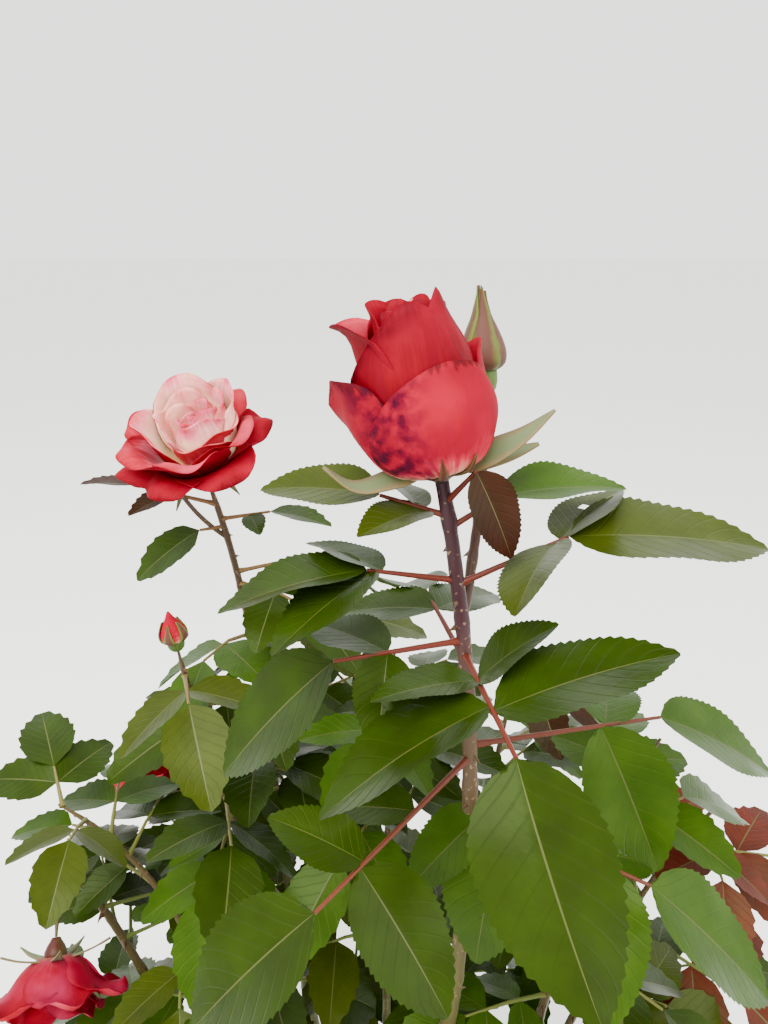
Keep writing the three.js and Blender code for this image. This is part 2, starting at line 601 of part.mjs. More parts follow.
const bush = new THREE.Group();
for (const [name, made] of solids) {
  const { numProp, numVert, vertProperties, triVerts } = made.getMesh();
  const position = new Float32Array(numVert * 3);
  for (let i = 0; i < numVert; i++) position.set(vertProperties.subarray(i * numProp, i * numProp + 3), i * 3);
  const geometry = new THREE.BufferGeometry();
  geometry.setAttribute("position", new THREE.BufferAttribute(position, 3));
  geometry.setIndex(new THREE.BufferAttribute(triVerts, 1));
  geometry.computeVertexNormals();
  const material = new THREE.MeshStandardMaterial({ metalness: 0, ...MATERIALS[slots.get(name)] });
  const mesh = new THREE.Mesh(geometry, material);
  mesh.name = name;
  bush.add(mesh);
}
export default bush;
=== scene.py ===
import json
import math

import bmesh
import bpy
from mathutils import Matrix, Quaternion, Vector, noise
from mathutils.kdtree import KDTree

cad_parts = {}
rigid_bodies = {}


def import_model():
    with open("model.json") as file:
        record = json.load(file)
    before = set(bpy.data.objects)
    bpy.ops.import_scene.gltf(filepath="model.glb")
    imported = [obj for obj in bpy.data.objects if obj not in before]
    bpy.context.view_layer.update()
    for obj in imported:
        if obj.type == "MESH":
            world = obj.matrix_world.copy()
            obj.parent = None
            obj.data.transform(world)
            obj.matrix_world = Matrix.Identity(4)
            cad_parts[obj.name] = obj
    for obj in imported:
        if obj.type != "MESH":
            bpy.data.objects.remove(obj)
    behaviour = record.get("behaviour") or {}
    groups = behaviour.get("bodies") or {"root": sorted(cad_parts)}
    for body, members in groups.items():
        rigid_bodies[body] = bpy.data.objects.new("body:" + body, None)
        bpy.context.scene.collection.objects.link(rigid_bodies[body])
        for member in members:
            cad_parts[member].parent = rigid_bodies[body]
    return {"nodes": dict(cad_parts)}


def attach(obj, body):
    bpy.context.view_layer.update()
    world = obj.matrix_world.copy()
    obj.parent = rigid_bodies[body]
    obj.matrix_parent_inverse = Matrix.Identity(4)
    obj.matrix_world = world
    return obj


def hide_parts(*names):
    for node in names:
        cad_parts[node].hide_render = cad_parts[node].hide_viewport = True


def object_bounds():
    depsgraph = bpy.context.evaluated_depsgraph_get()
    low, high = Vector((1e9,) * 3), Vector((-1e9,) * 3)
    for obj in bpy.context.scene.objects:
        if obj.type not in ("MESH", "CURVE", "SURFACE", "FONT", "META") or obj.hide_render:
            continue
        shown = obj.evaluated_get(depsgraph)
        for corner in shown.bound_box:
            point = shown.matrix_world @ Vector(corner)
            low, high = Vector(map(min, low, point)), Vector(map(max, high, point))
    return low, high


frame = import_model()
CAD_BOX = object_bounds()
MM = 0.001
UP = Vector((0, 0, 1))
DOWN = Vector((0, 0, -1))
CLEAR = 0.3  # between a cane's tip and its bloom

# The plant's own measures, in millimetres and degrees.
KNUCKLE_AT = 36
KNUCKLE_SPREAD = 9
# Canes: tip, the way the tip points, splay from what they grow on, radius at foot and end, the share
# of their length where the leaves start, how far these may pass the roof, and the cane that they
# grow on with the share of its length there.
CANE_ROWS = {
    "main": ((21.5, -69, 627), (-0.2, 0, 1), 16, 5.6, 2.7),
    "left": ((-97, 56, 590), (-0.14, -0.45, 1), 24, 4.8, 1.8, 0.5, 60),
    "left_low": ((-189, -13, 334), (0.1, -0.55, -0.62), 66, 4.2, 1.7, 0.45),
    "right": ((128, -44, 494), (0.35, -0.1, 1), 36, 4.4, 1.4, 0.45),
    "back_right": ((92, 108, 440), (0.3, 0.4, 1), 40, 4.0, 1.3, 0.4),
    "back": ((-22, 138, 425), (0, 0.4, 1), 40, 4.0, 1.3, 0.4),
    "front": ((-34, -158, 318), (-0.1, -0.6, 0.9), 54, 3.8, 1.2, 0.4),
    "front_right": ((124, -128, 340), (0.5, -0.4, 0.8), 60, 3.6, 1.2, 0.4),
    "front_left": ((-128, -112, 350), (-0.5, -0.4, 0.8), 56, 3.6, 1.2, 0.4),
    "heart": ((6, 30, 498), (0.05, 0.1, 1), 3, 4.0, 1.3, 0.45),
    "left_middle": ((-112, 22, 502), (-0.08, -0.15, 1), 38, 2.9, 1.5, 0.3, 20, "left", 0.4),
    "left_outer": ((-184, 6, 412), (-0.8, -0.1, 0.7), 42, 2.7, 1.3, 0.3, 20, "left_low", 0.3),
    "right_outer": ((192, 8, 412), (0.7, 0.1, 0.75), 46, 2.8, 1.2, 0.3, 30, "right", 0.34),
    "back_left": ((-152, 108, 328), (-0.4, 0.3, 0.8), 48, 3.0, 1.6, 0.3, 0, "left", 0.22),
    "bud_shoot": ((40.6, -31.4, 651), (-0.06, 0.1, 1), 40, 2.2, 1.9, 1, 0, "main", 0.9),
}
DEEP, OLIVE, BRIGHT, BRONZE, RED = range(5)  # tints of a leaf


def placed_leaf(share, heading, rise, stalk, twist, size, tint, *leaflets):
    """A leaf at a share of its cane, and its leaflets: share of stalk, turn, scale, droop, roll."""
    return dict(share=share, heading=heading, rise=rise, stalk=stalk, twist=twist, size=size, tint=tint,
                leaflets=leaflets)


# Leaves alone on the main cane.
LONE_LEAVES = {
    "front_fan": placed_leaf(
        0.876, -84, 6, 75, 13, 76, DEEP, (1, 5, 0.94, 45, 23), (0.57, 83, 0.91, 6, 1),
        (0.62, -86, 0.87, -12, 6), (0.31, 77, 0.55, -20, -2), (0.31, -66, 0.5, -40, 17),
    ),
    "left_fan": placed_leaf(
        0.932, 189, 11, 36, 5, 60, DEEP, (1, 9, 0.99, 17, -6), (0.92, -35, 0.86, 22, 13),
        (0.84, 46, 0.64, -8, 0),
    ),
    "right_fan": placed_leaf(
        0.929, -3, 27, 46, -1, 78, OLIVE, (1, -2, 0.97, 23, 11), (0.88, 119, 0.58, -7, 4),
        (0.93, -46, 0.56, -4, 5),
    ),
    "upper_left_fan": placed_leaf(
        0.977, 177, 17, 27, 6, 48, OLIVE, (1, 9, 0.98, 9, -23), (0.29, -44, 0.7, 10, 0),
        (0.4, 62, 0.61, -12, 1),
    ),
    "upper_right_leaf": placed_leaf(0.969, 6, 32, 22, 0, 48, BRIGHT, (1, -1, 1.03, 21, 7)),
    "bronze_leaf": placed_leaf(0.986, -53, 46, 22, 13, 36, BRONZE, (1, 3, 0.95, 108, 11)),
    "middle_left_fan": placed_leaf(
        0.887, 199, 1, 54, -6, 62, DEEP, (1, 4, 1.05, 41, -12), (0.6, -66, 0.6, 26, 0), (0.6, 58, 0.7, 0, 0),
    ),
    "lower_front_fan": placed_leaf(
        0.79, -132, -8, 92, -7, 72, DEEP, (1, 26, 0.9, 33, -10), (0.75, -85, 0.81, 31, 0),
        (0.72, 70, 0.56, -18, 0), (0.4, 62, 0.5, 4, 0),
    ),
    "lower_right_fan": placed_leaf(
        0.745, -32, -2, 78, 8, 66, BRIGHT, (1, -8, 1, 34, 0), (0.62, -52, 0.72, 26, 0),
        (0.7, 58, 0.84, 24, 0), (0.4, 66, 0.7, 14, 0), (0.1, 122, 0.72, 26, 0), (0.2, 84, 0.95, 50, 0),
    ),
    "middle_right_fan": placed_leaf(
        0.8, 15, -2, 93, 4, 62, BRIGHT, (1, 16, 1.06, 18, 7), (0.67, 71, 1.06, 44, 26), (0.7, -58, 0.8, 0, 0),
    ),
    "back_fan": placed_leaf(
        0.87, 104, 6, 56, 0, 58, DEEP, (1, 0, 1, 20, 0), (0.7, 56, 0.86, 8, 0), (0.7, -56, 0.86, 8, 0),
    ),
}
HOLED_LEAFLET = ("right_fan", 2)  # the one with a hole
# Leaves of the masses that have a place of their own.
PLACED_LEAVES = {
    "left": (
        placed_leaf(0.965, 186, 16, 44, 0, 30, BRONZE, (1, 0, 1, 4, 0), (0.55, -36, 0.9, 22, 0)),
        placed_leaf(0.935, 206, 0, 14, 0, 44, DEEP, (1, 0, 1, 24, -20)),
        placed_leaf(0.945, -10, 12, 30, 0, 36, DEEP, (1, 0, 1, 14, 0), (0.6, 60, 0.6, 10, 0)),
    ),
    "left_outer": (
        placed_leaf(
            0.99, 120, 30, 25, 0, 50, DEEP, (1, 0, 1, 14, 0), (0.6, -58, 0.86, 10, 0), (0.6, 58, 0.86, 10, 0),
        ),
        placed_leaf(0.9, 178, 14, 16, 0, 38, BRIGHT, (1, 0, 1, 20, 0)),
    ),
}
SEATS = {
    "half_open_bloom": "main",
    "open_bloom": "left",
    "blown_bloom": "left_low",
    "back_bloom": "back_left",
    "tall_bud": "bud_shoot",
    "small_bud": "left_middle",
}
# The bounds of the crown, in which each leaflet's tip lies: a roof that falls off aside and to the
# back, and a front that slopes.
ROOF = {"x": 20, "y": -50, "top": 565, "aside": 0.0026, "back": 0.53}
FRONT = {"y": -60, "z": 440, "slope": 1}
LOWEST_LEAF = 60
CLEARING = (Vector((-169, -52, 360)), 42)  # free of leaves, before the blown bloom
SHOOT_REACH = 130
LEAF_SPACING = 42
LEAF_TRIES = 6
GOLDEN_TURN = 137.5
LAST_LEAF = 0.97
YOUNG_FROM = 0.7
# Measures of a shoot's leaf: lowest, highest, and the key that tells its draw from the others.
LEAF_DRAWS = {
    "aside": (-18, 18, 2), "rise": (2, 30, 3), "stalk": (50, 74, 4), "sag": (0.2, 0.55, 5),
    "size": (52, 66, 7), "nod": (10, 40, 8), "twist": (-22, 22, 9),
}
# Side leaflets, in pairs down the stalk.
PAIR_SIZE = (0.84, 0.68)
PAIR_AT = {1: (0.6,), 2: (0.76, 0.36)}
PAIR_SPREAD = (62, 74)
PAIR_DROOP = (0, 10)
PAIR_NOD = 0.35
STALK_STEPS = 2
STALK_RADIUS = (1.35, 0.75)
BLADE = {"width": 0.62, "curl": 0.16}
LEAFLET_ROOM = 9  # an extra leaflet keeps this far from the others
LIMB_ROOM = 7  # and this far from the middle of a limb
TIP_MATCH = 0.8  # between a leaflet's tip and the solid's corner there
BOX_ROOM = 2
BLOOM_ROOM = 46
BLOOM_MIDDLE = 28
LENGTH_STEPS = 200
LIMB_STEPS = 80
STEM_STEPS = 6
LEAVE_PULL, ARRIVE_PULL = 0.36, 0.34  # how far a cane's ends draw its curve, in shares of its span
# Shoots that the picture shows fuller: how many times more leaves are tried on them.
FULLER = {"left": 3, "left_low": 3, "left_outer": 3, "left_middle": 3, "back_left": 3}
# Keys that tell the drawn numbers of one thing from those of another.
YOUNG_KEY, TINT_KEY, SHAPE_KEY, TIP_KEY = 31, 32, 41, 61
PRICKLE_PLACE_KEY, PRICKLE_TURN_KEY, PRICKLE_SIZE_KEY = 51, 52, 53
FULLER_KEY, CANE_KEY = 40, 60
WORD = 0xFFFFFFFF
HASH_START, HASH_STEP, HASH_END = 2166136261, 16777619, 2246822519


def chance(*keys):
    """A number from 0 to 1 that depends only on its keys."""
    h = HASH_START
    for key in keys:
        h = ((h ^ key) * HASH_STEP) & WORD
        h ^= h >> 13
    h = (h * HASH_END) & WORD
    h ^= h >> 15
    return h / (WORD + 1)


def between(low, high, *keys):
    return low + (high - low) * chance(*keys)


def mix(a, b, t):
    return a + (b - a) * t


def smooth(t):
    t = min(1, max(0, t))
    return t * t * (3 - 2 * t)


def turned(v, axis, degrees):
    return Quaternion(axis, math.radians(degrees)) @ v


class Cane:
    """A cane along a cubic curve, as the solids have it."""

    def __init__(self, tip, aim, splay, foot, end, leafy=1, over=0, on=None, share=0):
        self.tip, self.aim = Vector(tip), Vector(aim).normalized()
        self.foot, self.end, self.leafy, self.over, self.on = foot, end, leafy, over, on
        start = CANES[on].point(share) if on else Vector((0, 0, KNUCKLE_AT))
        up = CANES[on].way(share) if on else UP
        out = self.tip - start
        out = (out - up * out.dot(up)).normalized()
        if not on:
            start = start + out * KNUCKLE_SPREAD
        span = (self.tip - start).length
        leave = out * math.sin(math.radians(splay)) + up * math.cos(math.radians(splay))
        near = start + leave * span * LEAVE_PULL
        self.knots = (start, near, self.tip - self.aim * span * ARRIVE_PULL, self.tip)
        spots = self.spots(LENGTH_STEPS)
        self.length = sum((b - a).length for a, b in zip(spots, spots[1:]))

    def point(self, t):
        a, b, c, d = self.knots
        s = 1 - t
        return a * s**3 + b * 3 * s * s * t + c * 3 * s * t * t + d * t**3

    def way(self, t):
        a, b, c, d = self.knots
        s = 1 - t
        return ((b - a) * s * s + (c - b) * 2 * s * t + (d - c) * t * t).normalized()

    def spots(self, steps, start=0):
        return [self.point(mix(start, 1, i / steps)) for i in range(steps + 1)]

    def radius(self, t):
        return mix(self.foot, self.end, t**0.85)


CANES = {}
for name, row in CANE_ROWS.items():
    CANES[name] = Cane(*row)


# Leaves.
def leaf_plan(cane, leaf):
    """Where a leaf's stalk runs, and where each leaflet sits: base, way, normal and length."""
    heading = math.radians(leaf["heading"])
    rise = math.radians(leaf["rise"])
    along = Vector((math.cos(heading) * math.cos(rise), math.sin(heading) * math.cos(rise), math.sin(rise)))
    step = leaf["stalk"] / STALK_STEPS
    points = [cane.point(leaf["share"])]
    ways = []
    for k in range(STALK_STEPS):
        way = (along + DOWN * (leaf.get("sag", 0) * (k + 0.5) / STALK_STEPS)).normalized()
        ways.append(way)
        points.append(points[k] + way * step)
    blades = []
    for share, turn, scale, droop, roll in leaf["leaflets"]:
        k = min(STALK_STEPS - 1, int(share * STALK_STEPS))
        way = ways[k]
        side = turned(Vector((way.y, -way.x, 0)).normalized(), way, leaf["twist"])
        normal = side.cross(way).normalized()
        out = way * math.cos(math.radians(turn)) + side * math.sin(math.radians(turn))
        hinge = out.cross(normal).normalized()
        out = turned(out, hinge, -droop)
        base = points[k] + way * ((share * STALK_STEPS - k) * step)
        blades.append((base, out, turned(hinge.cross(out).normalized(), out, roll), leaf["size"] * scale))
    return points, blades


def paired_leaflets(pairs, nod):
    """A leaflet at the end of the stalk and one or two pairs beside it."""
    leaflets = [(1, 0, 1, nod, 0)]
    for i, share in enumerate(PAIR_AT[pairs]):
        for side in (1, -1):
            leaflets.append((share, side * PAIR_SPREAD[i], PAIR_SIZE[i], nod * PAIR_NOD + PAIR_DROOP[i], 0))
    return leaflets


def shoot_leaf(cane, shoot_key, i, count, attempt):
    """Leaf i of the leaves that a shoot has room for, at its given try."""
    key = shoot_key + 100 * attempt
    share = mix(cane.leafy + 0.02, LAST_LEAF, (i + 0.5) / count)
    young = smooth(max(0, (share - YOUNG_FROM) / 0.3))
    pairs = 1 if young > 0.5 or chance(key, i, 6) < 0.6 else 2
    drawn = {label: between(low, high, key, i, last) for label, (low, high, last) in LEAF_DRAWS.items()}
    return dict(
        share=share,
        heading=GOLDEN_TURN * i + 360 * chance(key, 1) + drawn["aside"],
        rise=drawn["rise"] + 18 * young,
        stalk=drawn["stalk"] * mix(1, 0.55, young),
        sag=drawn["sag"],
        size=drawn["size"] * mix(1, 0.78, young),
        twist=drawn["twist"],
        leaflets=paired_leaflets(pairs, drawn["nod"]),
    )


def leaflet_tip(blade):
    base, along, normal, length = blade
    return base + (along - normal * BLADE["curl"]) * length


def leaflet_spots(blade):
    """A few points spread over a leaflet."""
    base, along, normal, length = blade
    side = along.cross(normal).normalized()
    for u, w in ((0.2, 0), (0.5, -0.6), (0.5, 0), (0.5, 0.6), (0.8, 0), (1, 0)):
        across = w * length * BLADE["width"] / 2
        yield base + along * (u * length) + side * across - normal * (BLADE["curl"] * length * u * u)


def plan_spots(plan):
    return [p for blade in plan[1] for p in leaflet_spots(blade)]


def in_crown(cane, p):
    top = ROOF["top"] + cane.over
    roof = top - ROOF["aside"] * (p.x - ROOF["x"]) ** 2 - ROOF["back"] * max(0, p.y - ROOF["y"])
    front = FRONT["z"] + FRONT["slope"] * (p.y - FRONT["y"]) if p.y < FRONT["y"] else math.inf
    return LOWEST_LEAF < p.z < min(roof, front)


def near_stem(cane, p):
    return any((spot - p).length < SHOOT_REACH for spot in cane.spots(STEM_STEPS, cane.leafy))


def tree_of(points):
    made = KDTree(len(points))
    for i, p in enumerate(points):
        made.insert(p, i)
    made.balance()
    return made


LIMB_SPOTS = tree_of([p for cane in CANES.values() for p in cane.spots(LIMB_STEPS)])


# Meshes.
def linked(name, data):
    """A new object in the scene."""
    made = bpy.data.objects.new(name, data)
    bpy.context.scene.collection.objects.link(made)
    return made


def add_face(bm, corners, places, part):
    """Adds a face whose part is also its material, with a place in the pattern for each corner."""
    uv = bm.loops.layers.uv.get("UVMap") or bm.loops.layers.uv.new("UVMap")
    label = bm.faces.layers.int.get("part") or bm.faces.layers.int.new("part")
    made = bm.faces.new(corners)
    made[label] = part
    made.material_index = part
    made.smooth = True
    for loop, place in zip(made.loops, places):
        loop[uv].uv = place


def sheet(bm, front, back, across, along, parts=(0, 1, 1), walls=True, missing=(), strip=None):
    """Adds a closed thin body over a grid of points: a front, a back and, at each free edge, a wall.
    Without walls its front and back meet in the edge. strip is a column that takes part 2."""
    rows, columns = len(along), len(across)
    cells = [(i, j) for i in range(rows - 1) for j in range(columns - 1) if (i, j) not in missing]
    present = set(cells)

    def free(i, j):
        return any((i - a, j - b) not in present for a in (0, 1) for b in (0, 1))

    spots = {}

    def vertex(face, i, j):
        key = (face, i, j) if walls or not free(i, j) else (0, i, j)
        if key not in spots:
            spots[key] = bm.verts.new((front, back)[face][i][j] * MM)
        return spots[key]

    def fill(corners, part):
        places = [(across[j] * 0.5 + 0.5, along[i]) for _, i, j in corners]
        add_face(bm, [vertex(*corner) for corner in corners], places, part)

    for i, j in cells:
        loop = ((i, j), (i, j + 1), (i + 1, j + 1), (i + 1, j))
        fill([(0, *c) for c in loop], 2 if j == strip else parts[0])
        fill([(1, *loop[k]) for k in (0, 3, 2, 1)], parts[1])
        for (di, dj), a, b in (((-1, 0), 0, 1), ((0, 1), 1, 2), ((1, 0), 2, 3), ((0, -1), 3, 0)):
            if walls and (i + di, j + dj) not in present:
                fill([(0, *loop[b]), (0, *loop[a]), (1, *loop[a]), (1, *loop[b])], parts[2])


def revolve(bm, profile, sides, part, shape):
    """Adds a body turned from (radius, height) pairs that start and end on the axis."""
    rings = []
    for r, z in profile:
        ring = []
        for k in range(sides if r else 1):
            turn = 2 * math.pi * k / sides
            ring.append(bm.verts.new(shape(Vector((r * math.cos(turn), r * math.sin(turn), z)), turn) * MM))
        rings.append(ring)
    for i, (low, high) in enumerate(zip(rings, rings[1:])):
        for k in range(sides):
            n = (k + 1) % sides
            corners = [low[k % len(low)], low[n % len(low)], high[n % len(high)], high[k % len(high)]]
            place = (k / sides, i / (len(rings) - 1))
            add_face(bm, list(dict.fromkeys(corners)), [place] * 4, part)


def finished(bm, name, crease=False):
    """The mesh of what was built: doubles merged, faces outward, and sharp where two parts meet."""
    bmesh.ops.remove_doubles(bm, verts=bm.verts, dist=2e-6)
    bmesh.ops.recalc_face_normals(bm, faces=bm.faces)
    part = bm.faces.layers.int.get("part")
    if crease:
        for edge in bm.edges:
            edge.smooth = len({face[part] == 1 for face in edge.link_faces}) == 1
    mesh = bpy.data.meshes.new(name)
    bm.to_mesh(mesh)
    bm.free()
    return mesh


def dressed(piece, nodes):
    """Makes an object a finished piece that stands for some nodes of the solids."""
    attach(piece, "root")
    if nodes:
        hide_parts(*nodes)


def shown(name, mesh, materials, nodes):
    for material in materials:
        mesh.materials.append(material)
    dressed(linked(name, mesh), nodes)


# Leaflets one unit long, from the base along +X, with the upper face to +Z.
WIDEST = 0.42
TOOTH_OUT, TOOTH_IN = 0.45, -0.55
HALF_THICK = 0.003


def outline(u):
    """Half width of a leaflet at a share of its length, 1 where it is widest."""
    return (u / WIDEST) ** 0.62 * (max(0, 1 - u) / (1 - WIDEST)) ** 0.856


def leaflet_shape(name, bend, teeth, across, tooth, missing=()):
    fold, curl, wave, phase = bend
    rows = 2 * teeth
    along = [i / rows for i in range(rows + 1)]

    def place(i, j, lift):
        u, v = along[i], across[j]
        half = outline(u) * BLADE["width"] / 2
        x, y = u, v * half
        if abs(v) == 1 and 0 < i < rows:
            x += (0.5 if i % 2 else 0) / rows
            y *= 1 + tooth * (TOOTH_OUT if i % 2 else TOOTH_IN)
        ripple = wave * math.sin(phase + 9 * u + (2 if v > 0 else 0)) * abs(v) ** 2 * outline(u)
        z = fold * abs(y) - curl * u * u + ripple
        return Vector((x, y, z + lift)) / MM

    def face(lift):
        return [[place(i, j, lift) for j in range(len(across))] for i in range(rows + 1)]

    bm = bmesh.new()
    middle = len(across) // 2 - 1
    sheet(bm, face(HALF_THICK), face(-HALF_THICK), across, along, walls=False, missing=missing, strip=middle)
    return finished(bm, name, crease=True)


def prickle_shape(name):
    """A hooked prickle one unit tall, on a base that is long along the cane."""
    bm = bmesh.new()

    def hook(p, turn):
        t = p.z / 1000
        return Vector((p.x * 1.7 - 550 * t * t, p.y, p.z))

    profile = [(0, -150), (330, -150), (300, 0), (190, 250), (110, 550), (50, 850), (0, 1000)]
    revolve(bm, profile, 6, 0, hook)
    return finished(bm, name)


# Node trees.
def add(tree, kind, inputs=None, **settings):
    """Adds a node with its settings, and links or sets its inputs."""
    made = tree.nodes.new(kind)
    for key, value in settings.items():
        setattr(made, key, value)
    for key, value in (inputs or {}).items():
        if isinstance(value, bpy.types.NodeSocket):
            tree.links.new(value, made.inputs[key])
        else:
            made.inputs[key].default_value = value
    return made


def maths(tree, operation, *values):
    return add(tree, "ShaderNodeMath", dict(enumerate(values)), operation=operation).outputs[0]


def read(tree, label, kind):
    return add(tree, "GeometryNodeInputNamedAttribute", {"Name": label}, data_type=kind).outputs["Attribute"]


def growth_tree(name, sockets):
    """An empty geometry tree with named inputs: the tree, these inputs and the socket for its result."""
    tree = bpy.data.node_groups.new(name, "GeometryNodeTree")
    tree.interface.new_socket("Geometry", in_out="INPUT", socket_type="NodeSocketGeometry")
    for label, kind in sockets.items():
        tree.interface.new_socket(label, in_out="INPUT", socket_type=f"NodeSocket{kind}")
    tree.interface.new_socket("Geometry", in_out="OUTPUT", socket_type="NodeSocketGeometry")
    return tree, add(tree, "NodeGroupInput").outputs, add(tree, "NodeGroupOutput").inputs["Geometry"]


def limb_tree():
    """Lines of points with a thickness, grown into limbs with a rough skin."""
    kinds = {"Sides": "Int", "Relief": "Float", "Grain": "Float", "Skin": "Material"}
    tree, given, result = growth_tree("limbs", kinds)
    line = add(tree, "GeometryNodeMeshToCurve", {"Mesh": given["Geometry"]}).outputs["Curve"]
    ring = add(tree, "GeometryNodeCurvePrimitiveCircle", {"Resolution": given["Sides"], "Radius": 1.0})
    along = {"Curve": line, "Profile Curve": ring.outputs["Curve"], "Scale": read(tree, "thick", "FLOAT")}
    tube = add(tree, "GeometryNodeCurveToMesh", {**along, "Fill Caps": True}).outputs["Mesh"]
    grain = add(tree, "ShaderNodeTexNoise", {"Scale": given["Grain"], "Detail": 2.0}, noise_dimensions="4D")
    height = maths(tree, "MULTIPLY", maths(tree, "SUBTRACT", grain.outputs[0], 0.5), given["Relief"])
    normal = add(tree, "GeometryNodeInputNormal").outputs[0]
    push = add(tree, "ShaderNodeVectorMath", {0: normal, "Scale": height}, operation="SCALE").outputs[0]
    rough = add(tree, "GeometryNodeSetPosition", {"Geometry": tube, "Offset": push}).outputs["Geometry"]
    even = add(tree, "GeometryNodeSetShadeSmooth", {"Geometry": rough}).outputs["Geometry"]
    real = add(tree, "GeometryNodeRealizeInstances", {"Geometry": even}).outputs["Geometry"]
    skin = add(tree, "GeometryNodeSetMaterial", {"Geometry": real, "Material": given["Skin"]})
    tree.links.new(skin.outputs["Geometry"], result)
    return tree


def scatter_tree(name, tints):
    """Points that carry a turn, a size, a shape and a tint, each grown into one of the shapes. The
    faces of part 0 take the material of the tint, part 1 the under side and part 2 the rib."""
    kinds = {"Shapes": "Collection", "Under": "Material", "Rib": "Material"}
    tree, given, result = growth_tree(name, {**kinds, **{tint: "Material" for tint in tints}})
    apart = {"Collection": given["Shapes"], "Separate Children": True, "Reset Children": True}
    turn = add(tree, "FunctionNodeEulerToRotation", {0: read(tree, "turn", "FLOAT_VECTOR")}).outputs[0]
    spots = {
        "Points": given["Geometry"],
        "Instance": add(tree, "GeometryNodeCollectionInfo", apart).outputs[0],
        "Pick Instance": True,
        "Instance Index": read(tree, "shape", "INT"),
        "Rotation": turn,
        "Scale": read(tree, "size", "FLOAT"),
    }
    placed = add(tree, "GeometryNodeInstanceOnPoints", spots).outputs[0]
    last = add(tree, "GeometryNodeRealizeInstances", {"Geometry": placed}).outputs["Geometry"]
    part = read(tree, "part", "INT")
    tint = read(tree, "tint", "INT")
    choices = [*((tint, k, label) for k, label in enumerate(tints)), (part, 1, "Under"), (part, 2, "Rib")]
    for value, number, label in choices:
        where = add(tree, "FunctionNodeCompare", {2: value, 3: number}, data_type="INT", operation="EQUAL")
        inputs = {"Geometry": last, "Selection": where.outputs["Result"], "Material": given[label]}
        last = add(tree, "GeometryNodeSetMaterial", inputs).outputs["Geometry"]
    tree.links.new(last, result)
    return tree


def grown(name, tree, mesh, **values):
    """The object that a tree makes of a mesh of points or lines, as a plain mesh."""
    made = linked(name, mesh)
    modifier = made.modifiers.new("growth", "NODES")
    modifier.node_group = tree
    for item in tree.interface.items_tree:
        if item.in_out == "INPUT" and item.name in values:
            modifier[item.identifier] = values[item.name]
    graph = bpy.context.evaluated_depsgraph_get()
    real = made.evaluated_get(graph)
    plain = bpy.data.meshes.new_from_object(real, preserve_all_data_layers=True, depsgraph=graph)
    made.modifiers.remove(modifier)
    made.data = plain
    return made


def labelled(mesh, label, kind, field, values):
    mesh.attributes.new(label, kind, "POINT").data.foreach_set(field, values)


def line_mesh(name, lines):
    """Lines of (point, radius), in millimetres, as a mesh of edges with a thickness."""
    points = [p * MM for line in lines for p, _ in line]
    edges = []
    first = 0
    for line in lines:
        edges += [(first + i, first + i + 1) for i in range(len(line) - 1)]
        first += len(line)
    mesh = bpy.data.meshes.new(name)
    mesh.from_pydata(points, edges, [])
    labelled(mesh, "thick", "FLOAT", "value", [r * MM for line in lines for _, r in line])
    return mesh


def spot_mesh(name, spots):
    """Spots of (point, x way, z way, size, shape, tint) as a mesh of points for a scatter tree."""
    mesh = bpy.data.meshes.new(name)
    mesh.from_pydata([p * MM for p, *_ in spots], [], [])
    turns = []
    for _, x, z, *_ in spots:
        x = x.normalized()
        z = (z - x * z.dot(x)).normalized()
        turns += Matrix((x, z.cross(x), z)).transposed().to_euler()[:]
    _, _, _, sizes, shapes, tints = zip(*spots)
    labelled(mesh, "turn", "FLOAT_VECTOR", "vector", turns)
    labelled(mesh, "size", "FLOAT", "value", [size * MM for size in sizes])
    labelled(mesh, "shape", "INT", "value", shapes)
    labelled(mesh, "tint", "INT", "value", tints)
    return mesh


def shape_set(name, meshes):
    """A collection of template shapes, picked by their place in the order of their names."""
    made = bpy.data.collections.new(name)
    bpy.context.scene.collection.children.link(made)
    for i, mesh in enumerate(meshes):
        made.objects.link(bpy.data.objects.new(f"{name}_{i}", mesh))
    return made


# Materials.
def rgb(code):
    """An sRGB colour, written as six hex digits, in linear values."""
    parts = [int(code[i : i + 2], 16) / 255 for i in (0, 2, 4)]
    return (*[c / 12.92 if c <= 0.04045 else ((c + 0.055) / 1.055) ** 2.4 for c in parts], 1)


